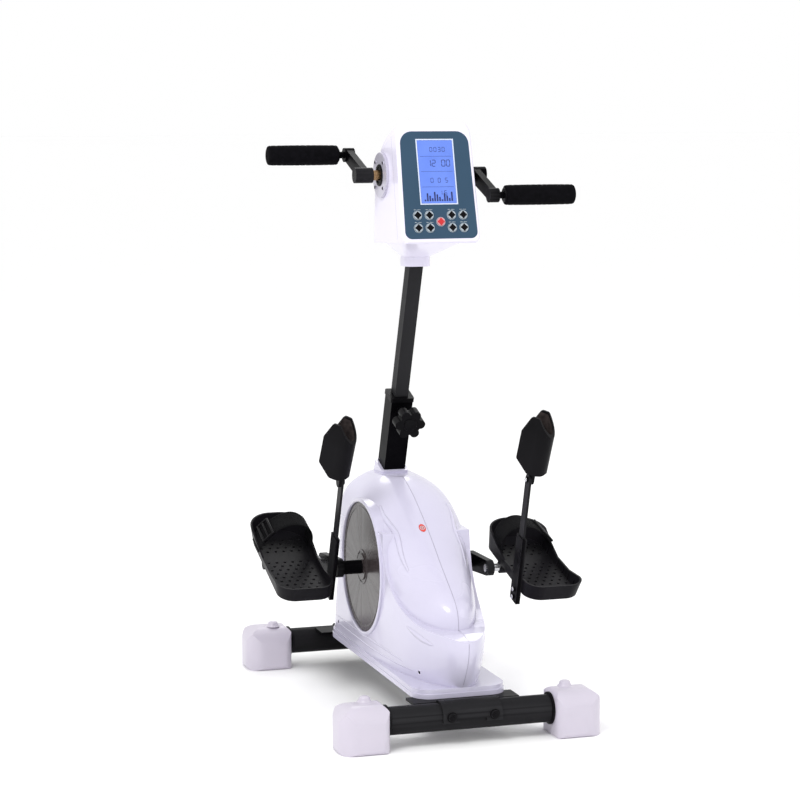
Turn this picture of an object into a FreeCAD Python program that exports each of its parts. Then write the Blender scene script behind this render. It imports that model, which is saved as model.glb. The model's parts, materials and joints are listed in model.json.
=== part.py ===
import FreeCAD, Part
import math
import os

# Pedal exerciser with arm cranks and calf supports. Millimetres.
# +X is the user's right, -Y is the user's side, +Z is up. The origin is on the floor,
# under the middle of the base.

V = FreeCAD.Vector
AXIS_X = V(1, 0, 0)
AXIS_Y = V(0, 1, 0)
AXIS_Z = V(0, 0, 1)
ORIGIN = V(0, 0, 0)

RUNNING = 0.05
SNUG = 0.03

# Base
BASE_TUBE_Y = 312.5
BASE_TUBE_Z = 46.0
BASE_TUBE_R = 24.0
BASE_TUBE_WALL = 1.8
BASE_TUBE_END = 222.0
FOOT_IN = 148.0
FOOT_OUT = 235.0
FOOT_HALF_DEPTH = 42.0
FOOT_HEIGHT = 80.0
FOOT_TOP_R = 34.0
FOOT_EDGE_R = 16.0
FOOT_NUB_R = 8.0
FOOT_NUB_H = 7.0
FOOT_NUB_IN = 32.0
FOOT_NUB_SHIFT = 12.0

# Welded frame
SPINE_HALF = 20.0
SPINE_WALL = 2.0
SPINE_Z0 = 26.0
SPINE_Z1 = 66.0
SADDLE_R = 28.0
SADDLE_HALF = 53.0
SADDLE_LOW_Z = 40.0
SADDLE_TAB_GAP = 24.0
PLATE_HALF = 95.0
PLATE_T = 4.0
PLATE_FRONT_IN = 262.0
PLATE_REAR_IN = 258.0
PLATE_OUT = 305.0
SADDLE_BOLT_X = 38.0
SADDLE_BOLT_Z = 51.0
BOLT_R = 4.0
BOLT_HEAD_R = 7.0
BOLT_HEAD_H = 5.0
BOLT_LENGTH = 16.0

# Mast, measured along its own axis from its foot on the spine's centre line
MAST_LEAN = 19.6
MAST_FOOT_Y = 247.3
MAST_FOOT_Z = 46.0
MAST_OUTER_HALF = 20.0
MAST_OUTER_WALL = 2.0
MAST_OUTER_TOP = 525.4
BUSHING_DEPTH = 44.0
BUSHING_FLANGE_HALF = 22.0
BUSHING_FLANGE_H = 8.0
MAST_INNER_HALF = 12.5
MAST_INNER_WALL = 1.8
MAST_INNER_S0 = 325.0
MAST_INNER_S1 = 880.0
KNOB_S = 508.0
KNOB_BOSS_R = 10.0
KNOB_BOSS_END = 30.0
KNOB_SCREW_R = 4.0
KNOB_STEM_R = 8.0
KNOB_HEAD_0 = 56.0
KNOB_HEAD_1 = 77.0
KNOB_CORE_R = 20.0
KNOB_LOBE_R = 8.5
KNOB_LOBE_AT = 19.5
KNOB_LOBES = 6

# Leg crank
CRANK_Y = 34.5
CRANK_Z = 240.0
CRANK_R = 100.0
CRANK_AXLE_R = 8.0
CRANK_AXLE_END = 131.0
CRANK_BOSS_R = 12.5
CRANK_BOSS_IN = 84.6
CRANK_ARM_IN = 120.0
CRANK_ARM_OUT = 132.0
CRANK_ARM_R0 = 17.0
CRANK_ARM_R1 = 14.0
LEFT_CRANK_ANGLE = -2.3
RIGHT_CRANK_ANGLE = 177.7
DISC_R = 116.5
HUB_CAP_R = 28.0
DISC_IN = 78.0
DISC_OUT = 82.0
DISC_HUB_R = 24.0
DISC_HUB_IN = 64.0
DISC_HUB_OUT = 84.4
SPINDLE_R = 7.0
SPINDLE_OUT = 235.0
SPINDLE_IN = 118.0

# Drive inside the housing
BRACKET_IN = 30.0
BRACKET_OUT = 34.0
BRACKET_RING_R = 25.0
BRACKET_FOOT_Y0 = -32.0
BRACKET_FOOT_Y1 = 100.0
BEARING_R = 16.0
BEARING_IN = 27.0
BEARING_OUT = 37.0
DRIVE_PULLEY_R = 95.0
MOTOR_PULLEY_R = 19.0
PULLEY_HALF = 9.0
PULLEY_RIM = 4.0
PULLEY_GROOVE_HALF = 5.0
PULLEY_HUB_R = 18.0
PULLEY_HUB_HALF = 20.0
PULLEY_WINDOW_R = 17.0
PULLEY_WINDOW_AT = 58.0
PULLEY_WINDOWS = 6
BELT_HALF = 4.5
BELT_T = 2.5
BELT_GAP = 0.1
MOTOR_Y = -180.0
MOTOR_Z = 122.0
MOTOR_R = 32.0
MOTOR_IN = 13.0
MOTOR_OUT = 46.0
MOTOR_SHAFT_R = 5.0
MOTOR_SHAFT_END = 30.0
MOTOR_FOOT_HALF = 27.0

# Housing: horizontal sections (z, front, widest from, half width, rear corner from, rear)
BODY_SECTIONS = (
    (70.0, -262.0, 0.0, 78.5, 206.0, 266.0),
    (100.0, -263.0, 2.0, 81.0, 198.0, 257.0),
    (130.0, -264.0, 4.0, 82.8, 187.0, 247.0),
    (160.0, -264.0, 6.0, 83.6, 178.0, 238.0),
    (190.0, -262.0, 8.0, 84.0, 169.0, 229.0),
    (214.0, -254.0, 6.0, 84.0, 163.0, 222.0),
    (232.0, -235.0, -4.0, 84.0, 160.0, 218.0),
    (254.0, -202.0, -18.0, 84.0, 157.0, 214.0),
    (283.0, -158.0, -32.0, 84.0, 154.0, 211.0),
    (313.0, -116.0, -22.0, 84.0, 150.0, 207.0),
    (334.0, -83.0, 2.0, 83.4, 146.0, 203.0),
    (352.0, -53.0, 30.0, 81.0, 141.0, 196.0),
    (368.0, -25.0, 58.0, 75.0, 134.0, 187.0),
    (381.0, 2.0, 78.0, 64.0, 128.0, 176.0),
    (391.0, 26.0, 92.0, 49.0, 124.0, 166.0),
    (398.0, 48.0, 103.0, 34.0, 122.0, 156.0),
)
NOSE_SECTIONS = (
    (70.0, -276.0, -10.0, 76.0, 0.0, 50.0),
    (95.0, -291.0, -10.0, 79.0, 0.0, 50.0),
    (125.0, -308.0, -12.0, 81.2, 0.0, 50.0),
    (150.0, -316.5, -14.0, 82.2, 0.0, 50.0),
    (172.0, -317.0, -16.0, 82.6, 0.0, 50.0),
    (200.0, -317.0, -18.0, 82.8, 0.0, 50.0),
    (320.0, -317.0, -18.0, 82.8, 0.0, 50.0),
)
NOSE_TOP = (
    (-330.0, 166.0), (-312.0, 173.0), (-285.0, 179.0), (-250.0, 181.0), (-215.0, 186.0),
    (-180.0, 196.0), (-150.0, 210.0), (-125.0, 228.0), (-103.0, 254.0), (-90.0, 286.0),
    (-84.0, 330.0),
)
NOSE_UNDER = ((60.0, 330.0), (60.0, 60.0), (-330.0, 60.0))
FRONT_POINTS = 12
REAR_POINTS = 8
REAR_POWER = 3.0
SHELL_WALL = 3.0
SHELL_Z0 = 70.0
FLANGE_H = 8.0
FLANGE_HALF = 84.0
FLANGE_FRONT = -287.0
FLANGE_REAR = 270.0
FLANGE_FRONT_R = 34.0
FLANGE_REAR_R = 56.0
LEDGE_H = 16.0
LEDGE_INSET = 1.2
DRUM_R = 125.0
DRUM_HALF = 84.6
DISC_HOLE_R = 117.5
HUB_CAP_HOLE_R = 29.0
NECK_HALF = 26.0
NECK_R = 7.0
NECK_S0 = 352.0
NECK_S1 = 388.0
MAST_HOLE_HALF = 20.4
BADGE_Y = -92.0
BADGE_Z = 329.0
BADGE_X = -9.0
BADGE_T = 1.0
BADGE_TILT = 52.0
BADGE_HALF_W = 6.0
BADGE_HALF_H = 9.5
BADGE_REACH = 40.0

# Power module in the right half's rear
POWER_X0 = 26.0
POWER_X1 = 68.0
POWER_Z0 = 94.0
POWER_Z1 = 126.0
POWER_Y = 231.0
POWER_PLATE = 2.0
POWER_MARGIN = 2.0
POWER_DEPTH = 20.0
PLUG_X0 = 30.0
PLUG_X1 = 50.0
PLUG_DEPTH = 16.0
ROCKER_X0 = 53.0
ROCKER_X1 = 63.0
ROCKER_HALF = 9.0
ROCKER_FRONT = 4.5
ROCKER_HOLLOW = 3.0
ROCKER_BACK = -3.0
ROCKER_BACK_HALF = 7.0
ROCKER_GAP = 0.9
ROCKER_DEPTH = 9.0
ROCKER_PIVOT_Y = 229.0
ROCKER_PIN_R = 1.2
ROCKER_PIN_L = 1.4
ROCKER_REST = 6.0

# Pedal, in its own frame: u towards the toe, v up from the spindle, x outwards
LEFT_PEDAL_TILT = 20.0
RIGHT_PEDAL_TILT = 16.0
TRAY_IN = 145.0
TRAY_OUT_LOW = 246.0
TRAY_OUT_RIM = 256.0
TRAY_HEEL_LOW = -148.0
TRAY_HEEL_RIM = -156.0
TRAY_TOE_LOW = 98.0
TRAY_TOE_RIM = 106.0
TRAY_V0 = 8.0
TRAY_V1 = 56.0
SOLE_T = 4.0
TRAY_WALL = 3.5
HEEL_CORNER_R = 30.0
TOE_CORNER_R = 46.0
RIM_PROFILE = ((-170.0, 36.0), (-120.0, 35.0), (-75.0, 26.0), (-20.0, 24.0), (25.0, 33.0),
               (60.0, 43.0), (120.0, 48.0))
SOLE_HOLE_R = 2.8
SOLE_HOLE_STEP_X = 15.0
SOLE_HOLE_STEP_U = 13.0
SOLE_HOLE_COLUMNS = 6
SOLE_HOLE_ROWS = 15
SOLE_HOLE_X0 = 161.0
SOLE_HOLE_U0 = -124.0
PEDAL_BOSS_R = 11.0
PEDAL_BOSS_OUT = 241.0
STRAP_U0 = 4.0
STRAP_U1 = 52.0
STRAP_T = 2.6
STRAP_IN = 148.6
STRAP_OUT = 250.6
STRAP_FOOT_IN = 26.0
STRAP_FOOT_OUT = 20.0
STRAP_ARCH = ((150.5, 50.0), (162.0, 68.0), (182.0, 76.0), (205.0, 71.0), (228.0, 55.0),
              (245.0, 36.0))
SLEEVE_IN = 137.0
SLEEVE_OUT = 145.0
SLEEVE_U = -100.0
SLEEVE_HALF_U = 15.0
SLEEVE_V0 = -15.0
SLEEVE_V1 = 110.0
SLEEVE_RIVETS = (-7.0, 8.0)
RIVET_R = 4.2
RIVET_H = 2.4

# Calf post and cup
POST_IN = 139.0
POST_T = 4.0
POST_HALF_U = 10.0
POST_GAP = 0.1
POST_V0 = 45.0
PIVOT_V = 220.0
PIVOT_R = 3.0
PIVOT_HEAD_R = 5.0
PIVOT_HEAD_T = 2.9
LUG_T = 5.0
LUG_R = 9.0
LUG_PROFILE = ((-9.0, 0.0), (-11.0, 20.0), (11.0, 20.0), (9.0, 0.0))

# Calf cup, in its own frame: y into the cup from its back, z along it
CUP_CENTRE = 150.0
CUP_RISE = 66.0
CUP_TILT = 5.0
LEFT_CUP_TURN = -45.0
RIGHT_CUP_TURN = 45.0
CUP_HALF = 21.0
CUP_WALL = 4.0
CUP_DEPTH = 52.0
CUP_BLANK_HALF = 80.0
CUP_PROFILE = ((-1.0, -50.0), (-1.0, 20.0), (24.0, 56.0), (38.0, 56.0), (52.0, 25.0),
               (52.0, -28.0), (28.0, -50.0))
CUP_CORNER_R = 6.0
CUP_FLOOR_DEPTH = 40.0
CUP_FLOOR_Z0 = -50.0
CUP_FLOOR_Z1 = -44.0

# Hand crank
HAND_Y = -48.5
HAND_Z = 948.0
HAND_R = 100.6
LEFT_HAND_ANGLE = 19.2
RIGHT_HAND_ANGLE = 199.2
HAND_AXLE_R = 7.0
HAND_AXLE_END = 118.0
HAND_COLLAR_R = 9.0
HAND_COLLAR_IN = 74.3
HAND_BOSS_IN = 88.0
HAND_BOSS_OUT = 120.0
HAND_BOSS_R = 13.5
HAND_ARM_IN = 96.0
HAND_ARM_OUT = 108.0
HAND_ARM_R0 = 12.0
HAND_ARM_R1 = 11.0
KNUCKLE_IN = 93.0
KNUCKLE_OUT = 111.0
KNUCKLE_R = 12.5
GRIP_SPINDLE_R = 6.0
GRIP_SPINDLE_END = 246.0
GRIP_IN = 123.0
GRIP_OUT = 251.0
GRIP_R = 18.0
GRIP_EDGE = 3.0

# Console; the face frame has its origin on the face, z up the face, y into the console
FACE_TILT = 15.0
FACE_Y = -146.5
FACE_Z = 934.0
CONSOLE_HALF = 71.0
CONSOLE_TOP_HALF = 67.5
CONSOLE_SIDE = ((-173.0, 835.0), (-119.4, 1035.0), (-108.0, 1043.0), (-62.0, 1012.0),
                (-14.0, 970.0), (-6.0, 930.0), (-6.0, 829.0))
CONSOLE_WALL = 3.0
CONSOLE_FACE_WALL = 4.0
CONSOLE_LOW = -103.0
CONSOLE_HIGH = 115.5
CONSOLE_LOW_R = 16.0
CONSOLE_HIGH_R = 26.0
CONSOLE_SPLIT = 28.0
CONSOLE_EDGE_R = 5.0
NECK_TOP_Z = 836.0
NECK_MID_Z = 804.0
NECK_LOW_Z = 787.0
NECK_TOP_HALF = 62.0
NECK_TOP_Y0 = -128.0
NECK_TOP_Y1 = -8.0
NECK_MID_HALF = 24.0
NECK_MID_Y0 = -46.0
NECK_MID_Y1 = 2.0
PANEL_HALF_LOW = 65.5
PANEL_HALF_HIGH = 61.5
PANEL_P0 = -94.0
PANEL_P1 = 94.0
PANEL_LOW_R = 12.0
PANEL_HIGH_R = 22.0
PANEL_T = 2.0
DISPLAY_P = 23.0
DISPLAY_HALF_W = 34.0
DISPLAY_HALF_H = 57.5
SCREEN_HALF_W = 32.0
SCREEN_HALF_H = 55.5
SCREEN_DEPTH = 1.2
DISPLAY_PROUD = 0.6
DISPLAY_BACK = 9.0
DISPLAY_LEDGE = 3.0
BUTTON_PLACES = ((-41.0, -53.0), (-20.0, -53.0), (20.0, -53.0), (41.0, -53.0),
                 (-41.0, -75.0), (-20.0, -75.0), (20.0, -75.0), (41.0, -75.0), (0.0, -64.5))
BUTTON_R = 7.0
BUTTON_GAP = 0.2
BUTTON_PROUD = 2.2
BUTTON_CAP_R = 4.6
BUTTON_CAP_H = 0.8
BUTTON_FLANGE_R = 9.0
BUTTON_FLANGE_T = 1.4
BEARING_BLOCK_R = 18.0
BEARING_BLOCK_END = 65.0
SOCKET_HALF = 17.0
SOCKET_S0 = 846.0
SOCKET_S1 = 945.0
FLANGE_DISC_R = 39.5
FLANGE_DISC_IN = 68.0
FLANGE_DISC_OUT = 74.0
FLANGE_SCREW_R = 3.2
FLANGE_SCREW_H = 1.6
FLANGE_SCREW_AT = 31.0
FLANGE_SCREW_ANGLES = (45.0, 135.0, 225.0, 315.0)
AXLE_HOLE_R = 9.0


def box(x0, x1, y0, y1, z0, z1):
    return Part.makeBox(x1 - x0, y1 - y0, z1 - z0, V(x0, y0, z0))


def rod_x(radius, x0, x1, y, z):
    return Part.makeCylinder(radius, x1 - x0, V(x0, y, z), AXIS_X)


def rod_y(radius, x, y0, y1, z):
    return Part.makeCylinder(radius, y1 - y0, V(x, y0, z), AXIS_Y)


def rod_z(radius, x, y, z0, z1):
    return Part.makeCylinder(radius, z1 - z0, V(x, y, z0), AXIS_Z)


def prism(points, direction):
    wire = Part.makePolygon(points + [points[0]])
    return Part.Face(wire).extrude(direction)


def prism_x(profile, x0, x1):
    return prism([V(x0, y, z) for y, z in profile], V(x1 - x0, 0, 0))


def rounded_wire(corners, radii):
    """Closed wire through corners, each rounded by its own radius."""
    edges = []
    starts = []
    ends = []
    count = len(corners)
    for i, corner in enumerate(corners):
        back = (corners[i - 1] - corner).normalize()
        ahead = (corners[(i + 1) % count] - corner).normalize()
        half_angle = back.getAngle(ahead) / 2
        reach = radii[i] / math.tan(half_angle)
        start = corner + back * reach
        end = corner + ahead * reach
        bisector = (back + ahead).normalize()
        centre = corner + bisector * (radii[i] / math.sin(half_angle))
        middle = centre - bisector * radii[i]
        starts.append(start)
        ends.append(end)
        edges.append((start, middle, end))
    pieces = []
    for i, (start, middle, end) in enumerate(edges):
        pieces.append(Part.Arc(start, middle, end).toShape())
        pieces.append(Part.makeLine(end, starts[(i + 1) % count]))
    return Part.Wire(pieces)


def rounded_prism(corners, radii, direction):
    return Part.Face(rounded_wire(corners, radii)).extrude(direction)


def round_square(half, radius, s0, s1):
    corners = [V(-half, -half, s0), V(half, -half, s0), V(half, half, s0), V(-half, half, s0)]
    return rounded_prism(corners, [radius] * len(corners), V(0, 0, s1 - s0))


def square_bar(half, s0, s1):
    return box(-half, half, -half, half, s0, s1)


def slot_link(radius0, radius1, centre0, centre1, x0, x1):
    """Flat bar along X between two round ends, its sides tangent to both."""
    gap = math.dist(centre0, centre1)
    heading = math.atan2(centre1[1] - centre0[1], centre1[0] - centre0[0])
    spread = math.acos((radius0 - radius1) / gap)
    corners = []
    for centre, radius, turn in ((centre0, radius0, spread), (centre1, radius1, spread),
                                 (centre1, radius1, -spread), (centre0, radius0, -spread)):
        angle = heading + turn
        corners.append((centre[0] + radius * math.cos(angle), centre[1] + radius * math.sin(angle)))
    link = prism_x(corners, x0, x1)
    link = link.fuse(rod_x(radius0, x0, x1, *centre0))
    return link.fuse(rod_x(radius1, x0, x1, *centre1)).removeSplitter()


def mirrored(shape):
    return shape.mirror(ORIGIN, AXIS_X)


def on_mast(shape):
    moved = shape.copy()
    moved.rotate(ORIGIN, AXIS_X, MAST_LEAN)
    moved.translate(V(0, MAST_FOOT_Y, MAST_FOOT_Z))
    return moved


def on_face(shape):
    moved = shape.copy()
    moved.rotate(ORIGIN, AXIS_X, -FACE_TILT)
    moved.translate(V(0, FACE_Y, FACE_Z))
    return moved


def polar(y, z, radius, degrees):
    angle = math.radians(degrees)
    return y + radius * math.cos(angle), z + radius * math.sin(angle)


def on_spindle(shape, place, tilt):
    moved = shape.copy()
    moved.rotate(ORIGIN, AXIS_X, tilt)
    moved.translate(V(0, place[0], place[1]))
    return moved


def export(shape, node):
    shape.exportStep("parts/" + node + ".step")


# Base

def base_tube(side):
    y = side * BASE_TUBE_Y
    tube = rod_x(BASE_TUBE_R, -BASE_TUBE_END, BASE_TUBE_END, y, BASE_TUBE_Z)
    tube = tube.cut(rod_x(BASE_TUBE_R - BASE_TUBE_WALL, -BASE_TUBE_END, BASE_TUBE_END, y,
                          BASE_TUBE_Z))
    for bolt in saddle_bolt_rods(side, BOLT_R + RUNNING):
        tube = tube.cut(bolt)
    return tube


def foot_block():
    """Foot cap at +X, its tube along the line y = 0."""
    front = rounded_prism([V(FOOT_IN, -FOOT_HALF_DEPTH, 0), V(FOOT_OUT, -FOOT_HALF_DEPTH, 0),
                           V(FOOT_OUT, -FOOT_HALF_DEPTH, FOOT_HEIGHT),
                           V(FOOT_IN, -FOOT_HALF_DEPTH, FOOT_HEIGHT)],
                          [FOOT_EDGE_R / 4, FOOT_EDGE_R / 2, FOOT_TOP_R, FOOT_EDGE_R],
                          V(0, 2 * FOOT_HALF_DEPTH, 0))
    side = rounded_prism([V(FOOT_IN, -FOOT_HALF_DEPTH, 0), V(FOOT_IN, FOOT_HALF_DEPTH, 0),
                          V(FOOT_IN, FOOT_HALF_DEPTH, FOOT_HEIGHT),
                          V(FOOT_IN, -FOOT_HALF_DEPTH, FOOT_HEIGHT)],
                         [FOOT_EDGE_R / 2, FOOT_EDGE_R / 2, FOOT_TOP_R, FOOT_TOP_R],
                         V(FOOT_OUT - FOOT_IN, 0, 0))
    plan = rounded_prism([V(FOOT_IN, -FOOT_HALF_DEPTH, 0), V(FOOT_OUT, -FOOT_HALF_DEPTH, 0),
                          V(FOOT_OUT, FOOT_HALF_DEPTH, 0), V(FOOT_IN, FOOT_HALF_DEPTH, 0)],
                         [FOOT_EDGE_R, FOOT_TOP_R, FOOT_TOP_R, FOOT_EDGE_R],
                         V(0, 0, FOOT_HEIGHT))
    return front.common(side).common(plan)


def foot_cap():
    cap = foot_block()
    nub_x = FOOT_IN + FOOT_NUB_IN
    cap = cap.fuse(rod_z(FOOT_NUB_R, nub_x, FOOT_NUB_SHIFT, FOOT_HEIGHT / 2,
                         FOOT_HEIGHT + FOOT_NUB_H))
    return cap.cut(rod_x(BASE_TUBE_R + SNUG, 0, BASE_TUBE_END, 0, BASE_TUBE_Z))


def build_feet():
    cap = foot_cap()
    front_right = cap.translated(V(0, -BASE_TUBE_Y, 0))
    rear_left = front_right.copy()
    rear_left.rotate(ORIGIN, AXIS_Z, 180)
    export(front_right, "front_right_foot")
    export(mirrored(front_right), "front_left_foot")
    export(rear_left, "rear_left_foot")
    export(mirrored(rear_left), "rear_right_foot")


# Welded frame

def saddle_bolt_rods(side, radius):
    """Rods along Y at the two saddle bolts of one base tube, out to the bolt heads."""
    y0, y1 = sorted((side * BASE_TUBE_Y, side * (BASE_TUBE_Y + SADDLE_R + BOLT_HEAD_H)))
    return [rod_y(radius, x, y0, y1, SADDLE_BOLT_Z) for x in (-SADDLE_BOLT_X, SADDLE_BOLT_X)]


def saddle(side):
    """Cross plate and curved saddle that wraps over the front or rear base tube."""
    y = side * BASE_TUBE_Y
    ring = rod_x(SADDLE_R, -SADDLE_HALF, SADDLE_HALF, y, BASE_TUBE_Z)
    keep = box(-SADDLE_HALF, SADDLE_HALF, y - SADDLE_R, y + SADDLE_R, BASE_TUBE_Z,
               BASE_TUBE_Z + SADDLE_R)
    y0, y1 = sorted((y, y + side * SADDLE_R))
    for x0, x1 in ((-SADDLE_HALF, -SADDLE_TAB_GAP), (SADDLE_TAB_GAP, SADDLE_HALF)):
        keep = keep.fuse(box(x0, x1, y0, y1, SADDLE_LOW_Z, BASE_TUBE_Z))
    inner = PLATE_REAR_IN if side > 0 else PLATE_FRONT_IN
    y0, y1 = sorted((side * inner, side * PLATE_OUT))
    plate = box(-PLATE_HALF, PLATE_HALF, y0, y1, SPINE_Z1, SPINE_Z1 + PLATE_T)
    return ring.common(keep).fuse(plate)


def axle_bracket():
    foot = box(-BRACKET_OUT, BRACKET_OUT, BRACKET_FOOT_Y0, BRACKET_FOOT_Y1, SPINE_Z1,
               SPINE_Z1 + PLATE_T)
    outline = [(BRACKET_FOOT_Y0, SPINE_Z1), (BRACKET_FOOT_Y1, SPINE_Z1),
               (CRANK_Y + BRACKET_RING_R, CRANK_Z), (CRANK_Y - BRACKET_RING_R, CRANK_Z)]
    bracket = foot
    for x0, x1 in ((-BRACKET_OUT, -BRACKET_IN), (BRACKET_IN, BRACKET_OUT)):
        bracket = bracket.fuse(prism_x(outline, x0, x1))
        bracket = bracket.fuse(rod_x(BRACKET_RING_R, x0, x1, CRANK_Y, CRANK_Z))
    return bracket.cut(rod_x(BEARING_R + SNUG, -BRACKET_OUT, BRACKET_OUT, CRANK_Y, CRANK_Z))


def knob_rod(radius, d0, d1):
    """Rod along the clamp knob's axis, measured from the mast's centre line."""
    return on_mast(Part.makeCylinder(radius, d1 - d0, V(0, -d0, KNOB_S), V(0, -1, 0)))


def build_frame():
    spine = box(-SPINE_HALF, SPINE_HALF, -BASE_TUBE_Y, BASE_TUBE_Y, SPINE_Z0, SPINE_Z1)
    hollow = box(-SPINE_HALF + SPINE_WALL, SPINE_HALF - SPINE_WALL, -BASE_TUBE_Y, BASE_TUBE_Y,
                 SPINE_Z0 + SPINE_WALL, SPINE_Z1 - SPINE_WALL)
    mast = on_mast(square_bar(MAST_OUTER_HALF, 0, MAST_OUTER_TOP))
    mast = mast.fuse(knob_rod(KNOB_BOSS_R, MAST_OUTER_HALF - MAST_OUTER_WALL / 2, KNOB_BOSS_END))
    mast = mast.cut(on_mast(square_bar(MAST_OUTER_HALF - MAST_OUTER_WALL, 0, MAST_OUTER_TOP)))
    mast = mast.cut(knob_rod(KNOB_SCREW_R + RUNNING, 0, KNOB_BOSS_END))
    mast = mast.cut(box(-PLATE_HALF, PLATE_HALF, 0, PLATE_OUT, 0, SPINE_Z1))
    frame = spine.cut(hollow).fuse([saddle(-1), saddle(1), axle_bracket(), mast])
    for side in (-1, 1):
        frame = frame.cut(rod_x(BASE_TUBE_R, -PLATE_HALF, PLATE_HALF, side * BASE_TUBE_Y,
                                BASE_TUBE_Z))
        for bolt in saddle_bolt_rods(side, BOLT_R + RUNNING):
            frame = frame.cut(bolt)
    export(frame.removeSplitter(), "main_frame")


def build_bolts():
    bolts = []
    for side in (-1, 1):
        face = side * (BASE_TUBE_Y + SADDLE_R)
        for x in (-SADDLE_BOLT_X, SADDLE_BOLT_X):
            y0, y1 = sorted((face, face + side * BOLT_HEAD_H))
            head = rod_y(BOLT_HEAD_R, x, y0, y1, SADDLE_BOLT_Z)
            y0, y1 = sorted((face + side * BOLT_HEAD_H / 2, face - side * BOLT_LENGTH))
            bolts.append(head.fuse(rod_y(BOLT_R, x, y0, y1, SADDLE_BOLT_Z)))
    export(Part.makeCompound(bolts), "frame_bolts")


def build_bushing():
    sleeve = square_bar(MAST_OUTER_HALF - MAST_OUTER_WALL - SNUG, MAST_OUTER_TOP - BUSHING_DEPTH,
                        MAST_OUTER_TOP + BUSHING_FLANGE_H / 2)
    flange = round_square(BUSHING_FLANGE_HALF, BUSHING_FLANGE_H / 2, MAST_OUTER_TOP,
                          MAST_OUTER_TOP + BUSHING_FLANGE_H)
    bushing = sleeve.fuse(flange)
    bushing = bushing.cut(square_bar(MAST_INNER_HALF + RUNNING, 0, 2 * MAST_OUTER_TOP))
    bushing = on_mast(bushing).cut(knob_rod(KNOB_SCREW_R + 2 * RUNNING, 0, MAST_OUTER_HALF))
    export(bushing, "mast_bushing")


def build_knob():
    knob = knob_rod(KNOB_CORE_R, KNOB_HEAD_0, KNOB_HEAD_1)
    for i in range(KNOB_LOBES):
        angle = 2 * math.pi * i / KNOB_LOBES
        base = V(KNOB_LOBE_AT * math.cos(angle), -KNOB_HEAD_0,
                 KNOB_S + KNOB_LOBE_AT * math.sin(angle))
        lobe = Part.makeCylinder(KNOB_LOBE_R, KNOB_HEAD_1 - KNOB_HEAD_0, base, V(0, -1, 0))
        knob = knob.fuse(on_mast(lobe))
    knob = knob.fuse(knob_rod(KNOB_STEM_R, KNOB_BOSS_END + 2 * RUNNING, KNOB_HEAD_0))
    knob = knob.fuse(knob_rod(KNOB_SCREW_R, MAST_INNER_HALF + 2 * RUNNING, KNOB_HEAD_0))
    export(knob.removeSplitter(), "clamp_knob")


# Housing

def half_section(section, inset):
    """Right half of one horizontal section: a spline from front to rear and a line back."""
    z, front, wide, half, corner, rear = section
    half = half - inset
    front = front + inset
    rear = rear - inset
    points = []
    for i in range(FRONT_POINTS + 1):
        turn = math.pi / 2 * i / FRONT_POINTS
        points.append(V(half * math.sin(turn), wide - (wide - front) * math.cos(turn), z))
    for i in range(REAR_POINTS, -1, -1):
        turn = math.pi / 2 * i / REAR_POINTS
        across = math.sin(turn) ** (2 / REAR_POWER)
        along = math.cos(turn) ** (2 / REAR_POWER)
        points.append(V(half * across, corner + (rear - corner) * along, z))
    curve = Part.BSplineCurve()
    curve.interpolate(points)
    return Part.Wire([curve.toShape(), Part.makeLine(points[-1], points[0])])


def half_loft(sections, inset):
    """Right half of a form through horizontal sections, its top lowered by the inset too."""
    top = (sections[-1][0] - inset,) + sections[-1][1:]
    lofted = [half_section(section, inset) for section in sections[:-1] + (top,)]
    return Part.makeLoft(lofted, True, False)


def half_nose(inset):
    nose = half_loft(NOSE_SECTIONS, inset)
    profile = [(y, z - inset) for y, z in NOSE_TOP] + list(NOSE_UNDER)
    under = prism_x(profile, -FLANGE_HALF, FLANGE_HALF)
    return nose.common(under)


def half_housing(inset):
    """Right half of the housing's outer form, or of its hollow when inset by the wall."""
    return half_loft(BODY_SECTIONS, inset).fuse(half_nose(inset))


def drum(inset):
    """Round bulge that holds the large disc of the left half."""
    return rod_x(DRUM_R - inset, 0, DRUM_HALF - inset, CRANK_Y, CRANK_Z)


def flange_plate(inset, height):
    half = FLANGE_HALF - inset
    front = FLANGE_FRONT + inset
    rear = FLANGE_REAR - inset
    corners = [V(-half, front, SHELL_Z0), V(half, front, SHELL_Z0), V(half, rear, SHELL_Z0),
               V(-half, rear, SHELL_Z0)]
    radii = [FLANGE_FRONT_R, FLANGE_FRONT_R, FLANGE_REAR_R, FLANGE_REAR_R]
    plate = rounded_prism(corners, radii, V(0, 0, height))
    return plate.common(box(0, 2 * half, 2 * front, 2 * rear, SHELL_Z0, SHELL_Z0 + height))


def power_pocket(margin, y):
    return box(POWER_X0 - margin, POWER_X1 + margin, y, 2 * BASE_TUBE_Y, POWER_Z0 - margin,
               POWER_Z1 + margin)


def half_shell(outer, hollow, hole_r):
    """Half of the housing, drawn on the right, with a round opening at the crank."""
    outer = outer.fuse([flange_plate(0.0, FLANGE_H), flange_plate(LEDGE_INSET, LEDGE_H)])
    neck = on_mast(round_square(NECK_HALF, NECK_R, NECK_S0, NECK_S1))
    outer = outer.fuse(neck.common(box(0, NECK_HALF, 0, BASE_TUBE_Y, SHELL_Z0, 2 * CRANK_Z)))
    shell = outer.cut(hollow)
    shell = shell.cut(on_mast(square_bar(MAST_HOLE_HALF, 0, MAST_OUTER_TOP)))
    return shell.cut(rod_x(hole_r, DISC_IN - SHELL_WALL, 2 * DRUM_HALF, CRANK_Y, CRANK_Z))


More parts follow.
